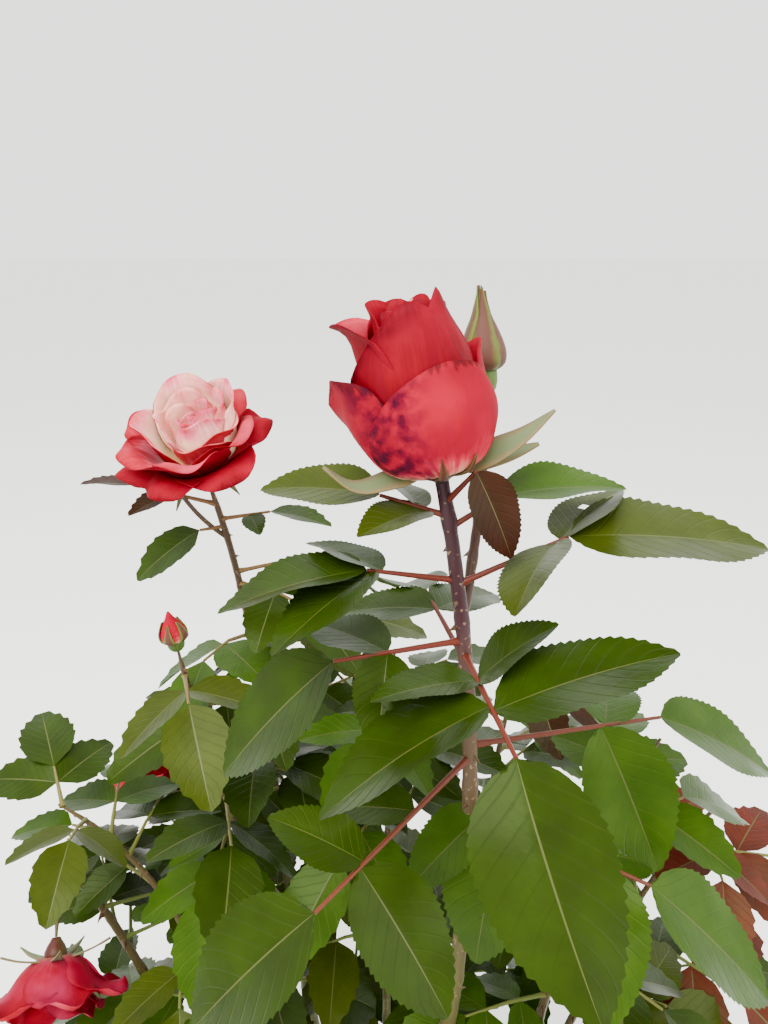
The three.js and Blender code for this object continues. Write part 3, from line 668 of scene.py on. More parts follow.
class Skin:
    """A material under work: its shader, the nodes that colour it and their coordinates."""

    def __init__(self, name, **values):
        self.made = bpy.data.materials.new(name)
        self.made.use_nodes = True
        self.shader = self.made.node_tree.nodes["Principled BSDF"]
        for label, value in values.items():
            self.shader.inputs[label.replace("_", " ")].default_value = value
        where = add(self.made.node_tree, "ShaderNodeTexCoord").outputs
        self.place, self.uv = where["Object"], where["UV"]

    def node(self, kind, inputs, **settings):
        return add(self.made.node_tree, kind, inputs, **settings).outputs

    def set(self, socket, value):
        self.made.node_tree.links.new(value, self.shader.inputs[socket])

    def maths(self, operation, *values):
        return maths(self.made.node_tree, operation, *values)

    def cloud(self, scale, detail=2.0, where=None):
        inputs = {"Vector": where or self.place, "Scale": scale, "Detail": detail}
        return self.node("ShaderNodeTexNoise", inputs)[0]

    def stretched(self, where, scales):
        """A fine noise drawn out along one way."""
        return self.cloud(1.0, 3.0, self.node("ShaderNodeMapping", {"Vector": where, "Scale": scales})[0])

    def ranged(self, value, low, high, to_low=0.0, to_high=1.0, kind="LINEAR"):
        ends = {"Value": value, "From Min": low, "From Max": high, "To Min": to_low, "To Max": to_high}
        return self.node("ShaderNodeMapRange", ends, interpolation_type=kind)[0]

    def split(self, where):
        return self.node("ShaderNodeSeparateXYZ", {0: where})

    def from_middle(self, across):
        """How far a spot lies from the middle line of a leaf, 0 to 0.5."""
        return self.maths("ABSOLUTE", self.maths("SUBTRACT", across, 0.5))

    def blend(self, share, first, second):
        """Goes from one colour to another; a colour is a node's or six hex digits."""
        first = rgb(first) if isinstance(first, str) else first
        return self.node("ShaderNodeMix", {0: share, 6: first, 7: rgb(second)}, data_type="RGBA")[2]

    def ramp(self, share, stops):
        made = add(self.made.node_tree, "ShaderNodeValToRGB", {0: share})
        for i, (position, code) in enumerate(stops):
            stop = made.color_ramp.elements[i] if i < 2 else made.color_ramp.elements.new(1)
            stop.position = position
            stop.color = rgb(code)
        return made.outputs[0]

    def bump(self, height, strength, distance):
        inputs = {"Height": height, "Strength": strength, "Distance": distance}
        self.set("Normal", self.node("ShaderNodeBump", inputs)["Normal"])


VEIN_SPACING = 0.055
VEIN_WIDTH = 0.012
GLOSS_SPREAD = 0.06


def leaf_skin(name, dark, light, roughness, coat):
    """Leaf skin: a waxy green, a little uneven over 15 mm, that dips along its side veins."""
    skin = Skin(
        name, Roughness=roughness, Specular_IOR_Level=0.13, Specular_Tint=rgb("c4dc78"), Coat_Weight=coat,
        Coat_Roughness=0.24,
    )
    skin.set("Base Color", skin.blend(skin.ranged(skin.cloud(65.0, 3.0), 0.2, 0.8), dark, light))
    polish = skin.ranged(skin.cloud(38.0), 0.4, 0.6, roughness - GLOSS_SPREAD, roughness + GLOSS_SPREAD)
    skin.set("Roughness", polish)
    across, along, _ = skin.split(skin.uv)
    slant = skin.maths("MULTIPLY_ADD", skin.from_middle(across), -0.5, along)
    dip = skin.ranged(skin.maths("PINGPONG", slant, VEIN_SPACING), 0.0, VEIN_WIDTH, kind="SMOOTHSTEP")
    skin.bump(skin.maths("MULTIPLY_ADD", skin.cloud(260.0, 3.0), 1.6, dip), 0.4, 0.0003)
    return skin.made


def rib_skin(name, code):
    """The midrib: paler and smoother than the blade, with a slight change of tone along it."""
    skin = Skin(name, Roughness=0.45, Specular_IOR_Level=0.25)
    skin.set("Base Color", skin.blend(skin.cloud(40.0), code, "46401a"))
    return skin.made


def bark_skin(name, stops, roughness, flecks):
    """Cane bark: its colour changes with height, pale lenticels fleck it and fine grooves run along
    it. stops are (height in metres, colour)."""
    skin = Skin(name, Roughness=roughness, Specular_IOR_Level=0.25)
    low, high = stops[0][0], stops[-1][0]
    level = skin.maths("MULTIPLY_ADD", skin.cloud(25.0, 3.0), 0.08, skin.split(skin.place)[2])
    share = skin.ranged(level, low + 0.04, high + 0.04)
    tone = skin.ramp(share, [((z - low) / (high - low), code) for z, code in stops])
    fleck = skin.maths("MULTIPLY", skin.ranged(skin.cloud(420.0, 1.0), 0.64, 0.7), flecks)
    skin.set("Base Color", skin.blend(fleck, tone, "94795a"))
    skin.bump(skin.stretched(skin.place, (600.0, 600.0, 60.0)), 0.4, 0.0005)
    return skin.made


def petal_skin(name, stops, flush, streak="96000c", blotch=None):
    """A petal: soft and matt, its colour running from heart to rim in faint streaks along it, with
    cloudy lighter patches. stops are (share of the length, colour), streak and flush the colours of
    the streaks and patches; blotch is (colour, where it starts and ends across)."""
    skin = Skin(name, Roughness=0.6, Specular_IOR_Level=0.05, Subsurface_Weight=0.15, Subsurface_Scale=0.002)
    across, along, _ = skin.split(skin.uv)
    vein = skin.stretched(skin.uv, (26.0, 2.2, 1.0))
    wander = skin.maths("SUBTRACT", skin.maths("ADD", vein, skin.cloud(90.0)), 1.0)
    tone = skin.ramp(skin.maths("MULTIPLY_ADD", wander, 0.35, along), stops)
    tone = skin.blend(skin.ranged(vein, 0.5, 0.75, to_high=0.35), tone, streak)
    tone = skin.blend(skin.ranged(skin.cloud(42.0, 3.0), 0.46, 0.7, to_high=0.5), tone, flush)
    if blotch:
        code, start, end = blotch
        stain = skin.ranged(skin.cloud(210.0, 6.0), 0.36, 0.62)
        side = skin.ranged(across, start, end, kind="SMOOTHSTEP")
        tone = skin.blend(skin.maths("MULTIPLY", stain, side), tone, code)
    skin.set("Base Color", tone)
    skin.bump(vein, 0.25, 0.0006)
    return skin.made


def sepal_skin(name, middle, margin, roughness=0.6):
    """A sepal: downy, one tone along its middle and another at its margins."""
    skin = Skin(name, Roughness=roughness, Specular_IOR_Level=0.2, Sheen_Weight=0.04)
    down = skin.cloud(240.0, 3.0)
    across = skin.from_middle(skin.split(skin.uv)[0])
    edge = skin.ranged(skin.maths("MULTIPLY_ADD", down, 0.25, across), 0.36, 0.58)
    skin.set("Base Color", skin.blend(edge, middle, margin))
    skin.bump(down, 0.3, 0.0004)
    return skin.made


# Petals and sepals. opens holds their angle from the axis at the heart, halfway and at the rim, and
# rim, if given, the angle to which the last part rolls back.
CRIMSON, CREAM, STAINED_LEFT, BLUSH, STAINED_RIGHT, SPENT, HEART_RED = range(7)
SEPAL, HIP, FRONT_SEPAL = range(3)
CUP, HEART, BUD_SEPAL = range(3)
PROFILE_STEPS = 30
BELLY = 0.45  # share of the length at which a petal is upright or leans in
BELLY_TO_RIM = 0.4
ROLL_FROM, ROLL_SPAN = 0.8, 0.2


def petal_profile(petal):
    a, b, c = (math.radians(v) for v in petal["opens"])
    rim = math.radians(petal.get("rim", petal["opens"][2]))
    r, z = petal["start"]
    points = [(r, z)]
    for i in range(PROFILE_STEPS):
        s = (i + 0.5) / PROFILE_STEPS
        angle = mix(a, b, smooth(s / BELLY)) if s < BELLY else mix(b, c, smooth((s - BELLY) / BELLY_TO_RIM))
        angle = mix(angle, rim, smooth((s - ROLL_FROM) / ROLL_SPAN))
        r = max(1, r + math.sin(angle) * petal["length"] / PROFILE_STEPS)
        z += math.cos(angle) * petal["length"] / PROFILE_STEPS
        points.append((r, z))
    return points


def petal_width(s):
    """Share of the full width: narrow at the claw, full at 0.6 of the length, rounded to the rim."""
    return mix(0.25, 1, smooth(s / 0.6)) if s < 0.6 else 1 - 0.25 * ((s - 0.6) / 0.4) ** 2


def sepal_width(s):
    """Share of the full width: full at a fifth of the length, then drawn out to a point."""
    return mix(0.7, 1, smooth(s / 0.2)) if s < 0.2 else 0.04 + 0.96 * (1 - ((s - 0.2) / 0.8) ** 1.3)


def petal_point(profile, petal, s, w, lift):
    """The point of a petal at share s of its length and w of its half width, lifted off its middle."""
    share = s * (1 - petal.get("peak", 0.2) * abs(w) ** petal.get("point", 2)) * PROFILE_STEPS
    i = min(PROFILE_STEPS - 1, int(share))
    (r0, z0), (r1, z1) = profile[i], profile[i + 1]
    slope = math.atan2(r1 - r0, z1 - z0)
    wide = petal.get("form", petal_width)(s)
    ruffle = petal.get("wave", 1.2) * math.sin(5 * w + petal["turn"]) * smooth((s - 0.5) / 0.5)
    out = lift + ruffle + petal.get("cup", 0) * w * w * s * wide
    r = mix(r0, r1, share - i) + out * math.cos(slope) + petal.get("lap", 2) * w * s
    z = mix(z0, z1, share - i) - out * math.sin(slope) + petal.get("bank", 0) * w * wide
    reach = max(mix(r0, r1, share - i), petal["width"] * 0.42)
    turn = math.radians(petal["turn"]) + wide * petal["width"] * w / reach
    return Vector((r * math.cos(turn) + petal.get("aside", 0) * smooth(s / 0.3), r * math.sin(turn), z))


def add_petal(bm, petal, place, rows, columns):
    profile = petal.get("profile") or petal_profile(petal)
    along = [i / rows for i in range(rows + 1)]
    across = [2 * j / columns - 1 for j in range(columns + 1)]
    half = petal.get("thick", 0.5) / 2

    def face(lift):
        return [[place @ petal_point(profile, petal, s, w, lift) for w in across] for s in along]

    outer = petal.get("outer", CRIMSON)
    inner = petal.get("inner", CREAM)
    sheet(bm, face(half), face(-half), across, along, parts=(outer, inner, outer))


def single(turn, width, length, start, opens, **more):
    return dict(turn=turn, width=width, length=length, start=start, opens=opens, **more)


def ring(count, first, width, length, start, opens, **more):
    """A ring of petals, each a little unlike the next."""
    made = []
    for i in range(count):
        keys = (count, int(abs(first)) + 1, i, int(length))
        turn = first + 360 * i / count + between(-7, 7, *keys, 1)
        long = length * between(0.94, 1.05, *keys, 2)
        wide = width * between(0.93, 1.07, *keys, 3)
        made.append(single(turn, wide, long, start, opens, **more))
    return made


# Each bloom's petals, outermost first. outer and inner pick the material of each side.
BLOOMS = {
    # Half open: low guard petals round a tall heart that is closed, with one rim rolled back.
    "half_open_bloom": [
        single(-70, 34, 55, (4, 6), (100, 22, -17), rim=-2, peak=0.24, lap=-3, wave=0.8, outer=STAINED_LEFT),
        single(-156, 20, 57, (4, 5), (98, 24, 4), rim=24, lap=-5, wave=1, outer=STAINED_RIGHT),
        single(150, 26, 45, (4, 6), (88, 26, -2), rim=10, inner=CRIMSON),
        single(84, 28, 48, (4, 6), (88, 26, -2), rim=10, inner=CRIMSON),
        single(20, 24, 51, (4, 6), (78, 18, -6), rim=16, peak=0.3, inner=CRIMSON),
        single(-54, 20, 69, (3, 8), (66, 4, -17), rim=-8, peak=0.36, point=1.3, lap=-3, wave=1,
               outer=HEART_RED),
        single(-94, 30, 69, (3, 8), (74, 8, -16), rim=-10, peak=0.32, point=1.5, lap=-4, wave=0.8,
               outer=HEART_RED),
        single(178, 27, 66, (3, 8), (70, 6, 2), rim=64, peak=0.1, lap=1, outer=HEART_RED, inner=BLUSH),
        single(-4, 16, 47, (3, 8), (64, 8, -14), rim=4, peak=0.26),
        single(112, 23, 64, (3, 8), (60, 4, -12), rim=12, peak=0.25, inner=CRIMSON),
        single(48, 23, 57, (3, 8), (60, 4, -14), rim=4, peak=0.25, inner=CRIMSON),
        single(-130, 19, 59, (2, 10), (54, 3, -12), rim=4, peak=0.3, outer=HEART_RED),
        single(-76, 14, 60, (2, 10), (46, 2, -8), rim=8, peak=0.3, outer=HEART_RED),
        single(158, 18, 62, (2, 10), (48, 3, -8), rim=20, peak=0.26, inner=CRIMSON),
        single(70, 18, 60, (2, 10), (48, 3, -8), rim=8, peak=0.3, inner=CRIMSON),
        single(-12, 16, 57, (2, 10), (48, 3, -12), rim=0, peak=0.3, outer=HEART_RED),
        *ring(3, 10, 12, 57, (1.5, 12), (30, 1, -8), rim=10, peak=0.3, inner=CRIMSON),
        *ring(3, 70, 8, 53, (1, 13), (14, 1, -4), peak=0.3),
    ],
    # Fully open: red outer petals that hang at the rim round a deep cup of cream ones.
    "open_bloom": [
        *ring(6, 12, 23, 43, (4, 9), (86, 48, 88), rim=128, wave=2.4, peak=0.16, inner=CRIMSON),
        *ring(6, 40, 24, 45, (4, 9), (86, 28, 44), rim=110, wave=1.8, peak=0.16, inner=BLUSH),
        single(-168, 22, 46, (3, 9), (78, 16, 10), rim=50, peak=0.16, wave=1.4),
        single(-92, 22, 35, (3, 9), (78, 22, 14), rim=60, peak=0.1, aside=5, outer=BLUSH),
        single(-24, 22, 38, (3, 9), (78, 20, 14), rim=60, peak=0.14, aside=5, outer=BLUSH),
        single(30, 24, 50, (3, 9), (80, 16, 2), rim=30, peak=0.12, aside=5, outer=CREAM),
        single(108, 24, 52, (3, 9), (78, 12, 2), rim=40, peak=0.16, wave=1.4, aside=5),
        *ring(4, 24, 20, 44, (3, 9), (66, 12, -2), rim=24, lap=3, aside=5, outer=CREAM),
        *ring(4, 60, 15, 38, (2, 10), (50, 8, -8), rim=10, lap=3, aside=5, outer=CREAM),
        *ring(3, 20, 9, 33, (1, 10), (26, 3, -6), aside=5, outer=CREAM),
    ],
    # Blown: limp outer petals that fall back from a small heart.
    "blown_bloom": [
        *ring(6, 12, 22, 46, (4, 9), (80, 34, 74), rim=130, wave=3.2, peak=0.16, outer=SPENT, inner=BLUSH),
        *ring(5, 48, 20, 40, (3, 9), (70, 18, 34), rim=80, wave=2.4, outer=SPENT, inner=BLUSH),
        *ring(4, 20, 15, 31, (2, 10), (56, 8, 4), rim=30, wave=1.6, outer=SPENT, inner=BLUSH),
        *ring(3, 60, 9, 26, (1, 10), (30, 4, -4), inner=BLUSH),
    ],
    "back_bloom": [
        *ring(6, 40, 22, 43, (4, 9), (84, 40, 74), rim=130, wave=2, peak=0.16, inner=BLUSH),
        *ring(5, 10, 20, 38, (3, 9), (74, 20, 34), rim=80, wave=1.4, inner=BLUSH),
        *ring(4, 50, 15, 31, (2, 10), (56, 10, 4), rim=30),
        *ring(3, 0, 9, 26, (1, 10), (30, 4, -4)),
    ],
}


def even_sepals(first, bend):
    return [(first + 72 * i, 27, 7, bend, 0) for i in range(5)]


# Sepals under each bloom: turn, length, width, their bend from the axis, and how one edge is raised.
BLOOM_SEPALS = {
    "half_open_bloom": (
        (192, 40, 11, (100, 94, 36), -2.4), (272, 23, 5, (136, 61, 28), 0), (-56, 21, 5, (136, 67, 32), 0),
        (-5, 40, 13, (96, 72, 56), 3.6), (12, 33, 12, (108, 96, 84), 3), (95, 34, 10, (92, 84, 70), 0),
    ),
    "open_bloom": even_sepals(30, (96, 112, 124)),
    "blown_bloom": even_sepals(10, (94, 104, 112)),
    "back_bloom": even_sepals(50, (94, 100, 106)),
}
FRONT_SEPAL_WIDTH = 6  # narrower ones take another colour
# Radius and height, up from the cane. The bud's are shares of its own radius and height.
ROUND_HIP = ((0, 0), (2.4, 0), (3.2, 1.6), (4.8, 4), (6.1, 7), (6.2, 9), (5, 11.5), (0, 12))
FLAT_HIP = ((0, 0), (2.7, 0), (4.2, 1.2), (7.4, 2.8), (9, 4.6), (9.2, 6.2), (7.6, 7.4), (0, 8))
BUD = ((0, 0), (0.22, 0), (0.4, 0.03), (0.55, 0.08), (0.62, 0.15), (0.62, 0.22), (0.6, 0.27), (0.8, 0.29),
       (0.97, 0.34), (1.0, 0.4), (0.96, 0.48), (0.82, 0.57), (0.62, 0.68), (0.42, 0.77), (0.26, 0.86),
       (0.1, 0.96), (0, 0.97))
CUP_TOP = 0.27
BUDS = {"tall_bud": (9.2, 40, False), "small_bud": (7.6, 27, True)}  # radius, height, petals show


def seat(name):
    """The place of a bloom or bud, and its turn from +Z to the way its cane points."""
    cane = CANES[SEATS[name]]
    turn = UP.rotation_difference(cane.aim).to_matrix().to_4x4()
    return Matrix.Translation(cane.tip + cane.aim * CLEAR) @ turn


def seated(place):
    return lambda p, turn: place @ p


def bloom_petals(name):
    bm = bmesh.new()
    rows, columns = (18, 16) if name in ("half_open_bloom", "open_bloom") else (13, 12)
    for petal in BLOOMS[name]:
        add_petal(bm, petal, seat(name), rows, columns)
    return finished(bm, name)


def bloom_calyx(name):
    """The hip of a bloom and the sepals round its top."""
    place = seat(name)
    hip = FLAT_HIP if name == "half_open_bloom" else ROUND_HIP
    bm = bmesh.new()
    revolve(bm, hip, 20, HIP, seated(place))
    start = (hip[-2][0] - 1, hip[-1][1] - 1)
    for turn, length, width, bend, bank in BLOOM_SEPALS[name]:
        skin = FRONT_SEPAL if width < FRONT_SEPAL_WIDTH else SEPAL
        shape = dict(form=sepal_width, bank=bank, lap=0, wave=0.3, cup=-1, peak=0, thick=0.7)
        sepal = single(turn, width / 2, length, start, bend, **shape, outer=skin, inner=skin)
        add_petal(bm, sepal, place, 14, 4)
    return finished(bm, name)


def even_steps(path):
    """A path of (radius, height) pairs cut into as many steps as a petal has."""
    made = []
    for k in range(PROFILE_STEPS + 1):
        step = k * (len(path) - 1) / PROFILE_STEPS
        i = min(len(path) - 2, int(step))
        made.append(tuple(mix(path[i][n], path[i + 1][n], step - i) for n in (0, 1)))
    return made


def lower_part(profile, reach):
    """The lower part of a profile, in as many steps."""
    lows = [min(PROFILE_STEPS - 1, int(k * reach)) for k in range(PROFILE_STEPS + 1)]
    return [tuple(mix(profile[i][n], profile[i + 1][n], 0.5) for n in (0, 1)) for i in lows]


def bud_solid(name):
    """A bud: its green cup, the petals packed in it, and five sepals that taper to loose tips."""
    radius, height, petals_show = BUDS[name]
    place = seat(name)
    bm = bmesh.new()
    cup = [(r * radius, z * height) for r, z in BUD if z <= CUP_TOP]
    revolve(bm, [*cup, (0, 0.3 * height)], 24, CUP, seated(place))
    heart = [(r * radius * 0.93, z * height * 0.97) for r, z in BUD if z >= CUP_TOP]
    revolve(bm, [(0, 0.25 * height), *heart], 24, HEART, seated(place))
    outside = [(r * radius, z * height) for r, z in BUD if r > 0.05 and z >= CUP_TOP]
    profile = even_steps([*outside, (0.6, height * 1.02)])
    if petals_show:
        profile = lower_part(profile, 0.66)
    ends = [smooth((z / height - 0.75) / 0.25) for _, z in profile]
    width = radius * (0.5 if petals_show else 0.78)
    for i in range(5):
        tip = between(-1.6, 3, int(radius), i, TIP_KEY)
        own = [(r + 0.5 * end, z + tip * end) for (r, z), end in zip(profile, ends)]
        shape = dict(form=sepal_width, profile=own, lap=0.5, wave=0.12, peak=0, thick=0.7)
        sepal = dict(turn=72 * i + 49, width=width, **shape, outer=BUD_SEPAL, inner=BUD_SEPAL)
        add_petal(bm, sepal, place, 16, 6)
    return finished(bm, name)


# The foliage: where each leaf of each mass sits.
CAD_TIPS = {
    name: tree_of([v.co / MM for v in node.data.vertices])
    for name, node in frame["nodes"].items()
    if name.startswith("foliage_")
}
BLOOM_CENTRES = [seat(name) @ Vector((0, 0, BLOOM_MIDDLE)) for name in BLOOMS]


def young_tint(name, share, key, i):
    """Which tint a leaf has: red or bronze where it is young, else one of the greens."""
    if name == "right_outer" and share > 0.55:
        return RED
    if share > 0.9 and chance(key, i, YOUNG_KEY) < 0.25:
        return BRONZE
    pick = chance(key, i, TINT_KEY)
    return DEEP if pick < 0.5 else OLIVE if pick < 0.72 else BRIGHT


def tried_leaf(name, cane, key, i, count, attempt):
    leaf = shoot_leaf(cane, key, i, count, attempt)
    leaf["tint"] = young_tint(name, leaf["share"], key, i)
    leaf["key"] = (key, i)
    return leaf, leaf_plan(cane, leaf)


def mass_leaves(name, cane, key):
    """The leaves of a shoot: those that its solid has, then more where there is room."""
    leaves = [(leaf, leaf_plan(cane, leaf)) for leaf in PLACED_LEAVES.get(name, ())]
    count = round((1 - cane.leafy) * cane.length / LEAF_SPACING)
    extras = []
    for i in range(2 * count):
        for attempt in range(LEAF_TRIES):
            leaf, plan = tried_leaf(name, cane, key, i, 2 * count, attempt)
            if i % 2:
                extras.append((leaf, plan))
            elif all(CAD_TIPS[f"foliage_{name}"].find(leaflet_tip(b))[2] < TIP_MATCH for b in plan[1]):
                leaves.append((leaf, plan))
                break
    for i in range(FULLER.get(name, 0) * count):
        for attempt in range(LEAF_TRIES):
            extras.append(tried_leaf(name, cane, key + FULLER_KEY, i, FULLER[name] * count, attempt))
    return leaves, extras


def off_blooms(p):
    """Whether a point keeps clear of every bloom, inside the box of the solids."""
    low, high = CAD_BOX
    if not all(low[k] / MM + BOX_ROOM < p[k] < high[k] / MM - BOX_ROOM for k in range(3)):
        return False
    return all((p - centre).length > BLOOM_ROOM for centre in BLOOM_CENTRES)


def has_room(cane, plan, spots):
    for blade in plan[1]:
        base, along, _, length = blade
        tip = base + along * length
        if not (in_crown(cane, tip) and near_stem(cane, tip)):
            return False
        if (base + along * length / 2 - CLEARING[0]).length < CLEARING[1]:
            return False
        for k, p in enumerate(leaflet_spots(blade)):
            if not off_blooms(p):
                return False
            if k and LIMB_SPOTS.find(p)[2] < LIMB_ROOM or spots.find(p)[2] < LEAFLET_ROOM:
                return False
    return True


SHOOTS = {name: (cane, key + 1) for key, (name, cane) in enumerate(CANES.items()) if cane.leafy < 1}
MASSES = {}
EXTRAS = {}
for name, (cane, key) in SHOOTS.items():
    MASSES[name], EXTRAS[name] = mass_leaves(name, cane, key)
LONE = {name: (leaf, leaf_plan(CANES["main"], leaf)) for name, leaf in LONE_LEAVES.items()}
taken = [p for leaves in (*MASSES.values(), LONE.values()) for _, plan in leaves for p in plan_spots(plan)]
for name, (cane, key) in SHOOTS.items():
    done = set()
    for leaf, plan in EXTRAS[name]:
        if leaf["key"] not in done and has_room(cane, plan, tree_of(taken)):
            done.add(leaf["key"])
            MASSES[name].append((leaf, plan))
            taken += plan_spots(plan)


def stalk_line(plan):
    """The stalk of a leaf as a smooth line, thicker where it leaves the stem."""
    a, b, c = plan[0]
    line = []
    for k in range(9):
        t = k / 8
        p = mix(a, b, t * 2) if t < 0.5 else mix(b, c, t * 2 - 1)
        line.append((p, mix(*STALK_RADIUS, t) * (1 + 0.5 * max(0, 1 - 8 * t))))
    return line


def side_twig(cane):
    """A side twig that forks 46 mm below a bloom and ends under its petals."""
    start = cane.point(1 - 46 / cane.length)
    bend, end = cane.tip + Vector((-13, 2, -22)), cane.tip + Vector((-25, 4, 8))
    shares = [k / 12 for k in range(13)]
    return [(mix(mix(start, bend, t), mix(bend, end, t), t), mix(1.5, 1.1, t)) for t in shares]


def cane_line(cane, start, end, key, taper=0):
    """A cane between two shares of its length, every 3 mm, a little swollen at its joints."""
    steps = max(8, round((end - start) * cane.length / 3))
    line = []
    for k in range(steps + 1):
        t = mix(start, end, k / steps)
        joint = (t * cane.length / LEAF_SPACING + chance(key, 5)) % 1
        swell = 1 + 0.14 * math.exp(-(((joint - 0.5) * LEAF_SPACING / 3) ** 2))
        narrow = 1 - taper * smooth((k / steps - 0.9) * 10)
        line.append((cane.point(t), cane.radius(t) * swell * narrow))
    return line


# Materials, each named for what it is.
LEAF_SKINS = {
    # Deep glossy green of full-grown leaves, with a broad soft sheen.
    "Deep": leaf_skin("leaf_deep_green", "182402", "223402", 0.37, 0.07),
    # Duller olive green of leaves that have stood in the sun.
    "Olive": leaf_skin("leaf_olive_green", "252d03", "313a05", 0.37, 0.07),
    # Fresh yellower green of leaves just full grown.
    "Bright": leaf_skin("leaf_bright_green", "203603", "2f4705", 0.37, 0.07),
    # Bronze of young leaves, maroon in places.
    "Bronze": leaf_skin("leaf_young_bronze", "1a0a08", "30100b", 0.4, 0.05),
    # Red of the youngest leaves at the end of a shoot.
    "Red": leaf_skin("leaf_young_red", "36120e", "521a12", 0.4, 0.05),
}
# Pale matt under side of a leaf.
LEAF_UNDER = leaf_skin("leaf_under_side", "303e1a", "44522a", 0.6, 0)
# Yellow-green midrib.
LEAF_RIB = rib_skin("leaf_midrib", "3a4814")
# Red leaf stalks, smooth and waxy.
STALK_RED = bark_skin("leaf_stalk_red", ((0.1, "484a1a"), (0.42, "542810"), (0.56, "561c0c")), 0.45, 0.0)
# Green stalks of the leaves lower down.
STALK_GREEN = bark_skin("leaf_stalk_green", ((0.1, "4a5820"), (0.3, "566224"), (0.6, "6a4426")), 0.5, 0.0)
# Smooth bark of the canes: grey brown below, olive brown above, purple under the bloom.
BARK = bark_skin(
    "cane_bark",
    (
        (0.0, "54452f"), (0.2, "4c4c26"), (0.44, "4c4424"), (0.53, "4a3020"), (0.57, "36191e"),
        (0.62, "2e141b"),
    ),
    0.5,
    0.5,
)
# Bark of the young canes: green brown, flushed with red.
YOUNG_BARK = bark_skin(
    "young_cane_bark", ((0.0, "4c4c24"), (0.35, "4c3e20"), (0.55, "403020"), (0.65, "4a221e")), 0.45, 0.3
)
# Rough bark of the foot, grey brown with paler edges.
FOOT_BARK = bark_skin("foot_bark", ((0.0, "5a4a38"), (0.03, "6f5e48"), (0.06, "7a6a50")), 0.8, 0.4)
# Prickles: red brown, darker than the bark.
PRICKLE = rib_skin("prickle_horn", "4a1c16")
# Colours up the length of a petal. Those of the crimson petals share a green and cream foot.
PETAL_FOOT = ((0.0, "a8b078"), (0.12, "c8b88c"))
RED_STOPS = (*PETAL_FOOT, (0.24, "c07060"), (0.34, "9c2034"), (0.46, "820018"), (0.9, "760016"),
             (1.0, "5c000c"))
# The low guard petals are a lighter red with a thin dark dry edge, those of the heart a deeper one.
GUARD_STOPS = (*PETAL_FOOT, (0.24, "cc7468"), (0.34, "a82438"), (0.46, "880220"), (0.97, "7c001a"),
               (1.0, "460a10"))
HEART_STOPS = (*PETAL_FOOT, (0.24, "b05060"), (0.34, "861426"), (0.46, "6a0012"), (0.9, "600010"),
               (1.0, "3c0008"))
CREAM_STOPS = ((0.0, "e89c50"), (0.22, "ecb878"), (0.5, "fee6bc"), (0.74, "f8d2bc"), (0.9, "e27488"),
               (1.0, "b4183e"))
BLUSH_STOPS = ((0.0, "f0d4a8"), (0.3, "ecbcb0"), (0.55, "d46474"), (0.78, "a82034"), (1.0, "8a0418"))
SPENT_STOPS = ((0.0, "8a6048"), (0.12, "8a2c38"), (0.34, "84001e"), (0.9, "700016"), (1.0, "54000c"))
BLOTCH = "34041a"
PETALS = {
    # Outside of a petal: cream at the foot, then crimson pink to the rim.
    CRIMSON: petal_skin("petal_crimson", RED_STOPS, flush="a80a2a"),
    # Inside of the open cup: peach at the foot, cream, and a pink rim.
    CREAM: petal_skin("petal_cream", CREAM_STOPS, streak="f4b8b0", flush="ffdcb0"),
    # Outside of the guard petals: lighter crimson with dark maroon blotches on one side.
    STAINED_LEFT: petal_skin(
        "petal_crimson_blotched_left", GUARD_STOPS, flush="ac0c2c", blotch=(BLOTCH, 0.42, 0.16)
    ),
    # Inside of the outer petals: pale only near the heart, then pink to red.
    BLUSH: petal_skin("petal_blush", BLUSH_STOPS, flush="c84c60"),
    # The same as the other guard petal, blotched on its other side.
    STAINED_RIGHT: petal_skin(
        "petal_crimson_blotched_right", GUARD_STOPS, flush="ac0c2c", blotch=(BLOTCH, 0.3, 0.8)
    ),
    # Outside of the spent bloom: crimson down to a dull red foot, with pinker patches.
    SPENT: petal_skin("petal_spent_crimson", SPENT_STOPS, flush="b02c54"),
    # Outside of the petals of the tall heart: a deeper crimson.
    HEART_RED: petal_skin("petal_deep_crimson", HEART_STOPS, flush="8c0420"),
}
# Sepals of the blooms: grey green, paler and browner at their edges.
SEPAL_GREY = sepal_skin("sepal_grey_green", "5c6844", "6c5c3a")
# Narrow sepals at the front of the half-open bloom: rust brown over olive.
SEPAL_RUST = sepal_skin("sepal_rust_brown", "4a2010", "4c3c14")
# Sepals of the buds: pink brown with yellow-green margins.
SEPAL_BROWN = sepal_skin("sepal_pink_brown", "4c2a1e", "545e18")
# The cup under a bud, plain green.
CUP_GREEN = sepal_skin("cup_green", "40561c", "4e6428", 0.45)
# The hip under a bloom, dark red over green.
HIP_RED = sepal_skin("hip_red_green", "42180f", "4c4020", 0.45)

LIMBS = limb_tree()
LEAFLETS = scatter_tree("leaflets", list(LEAF_SKINS))
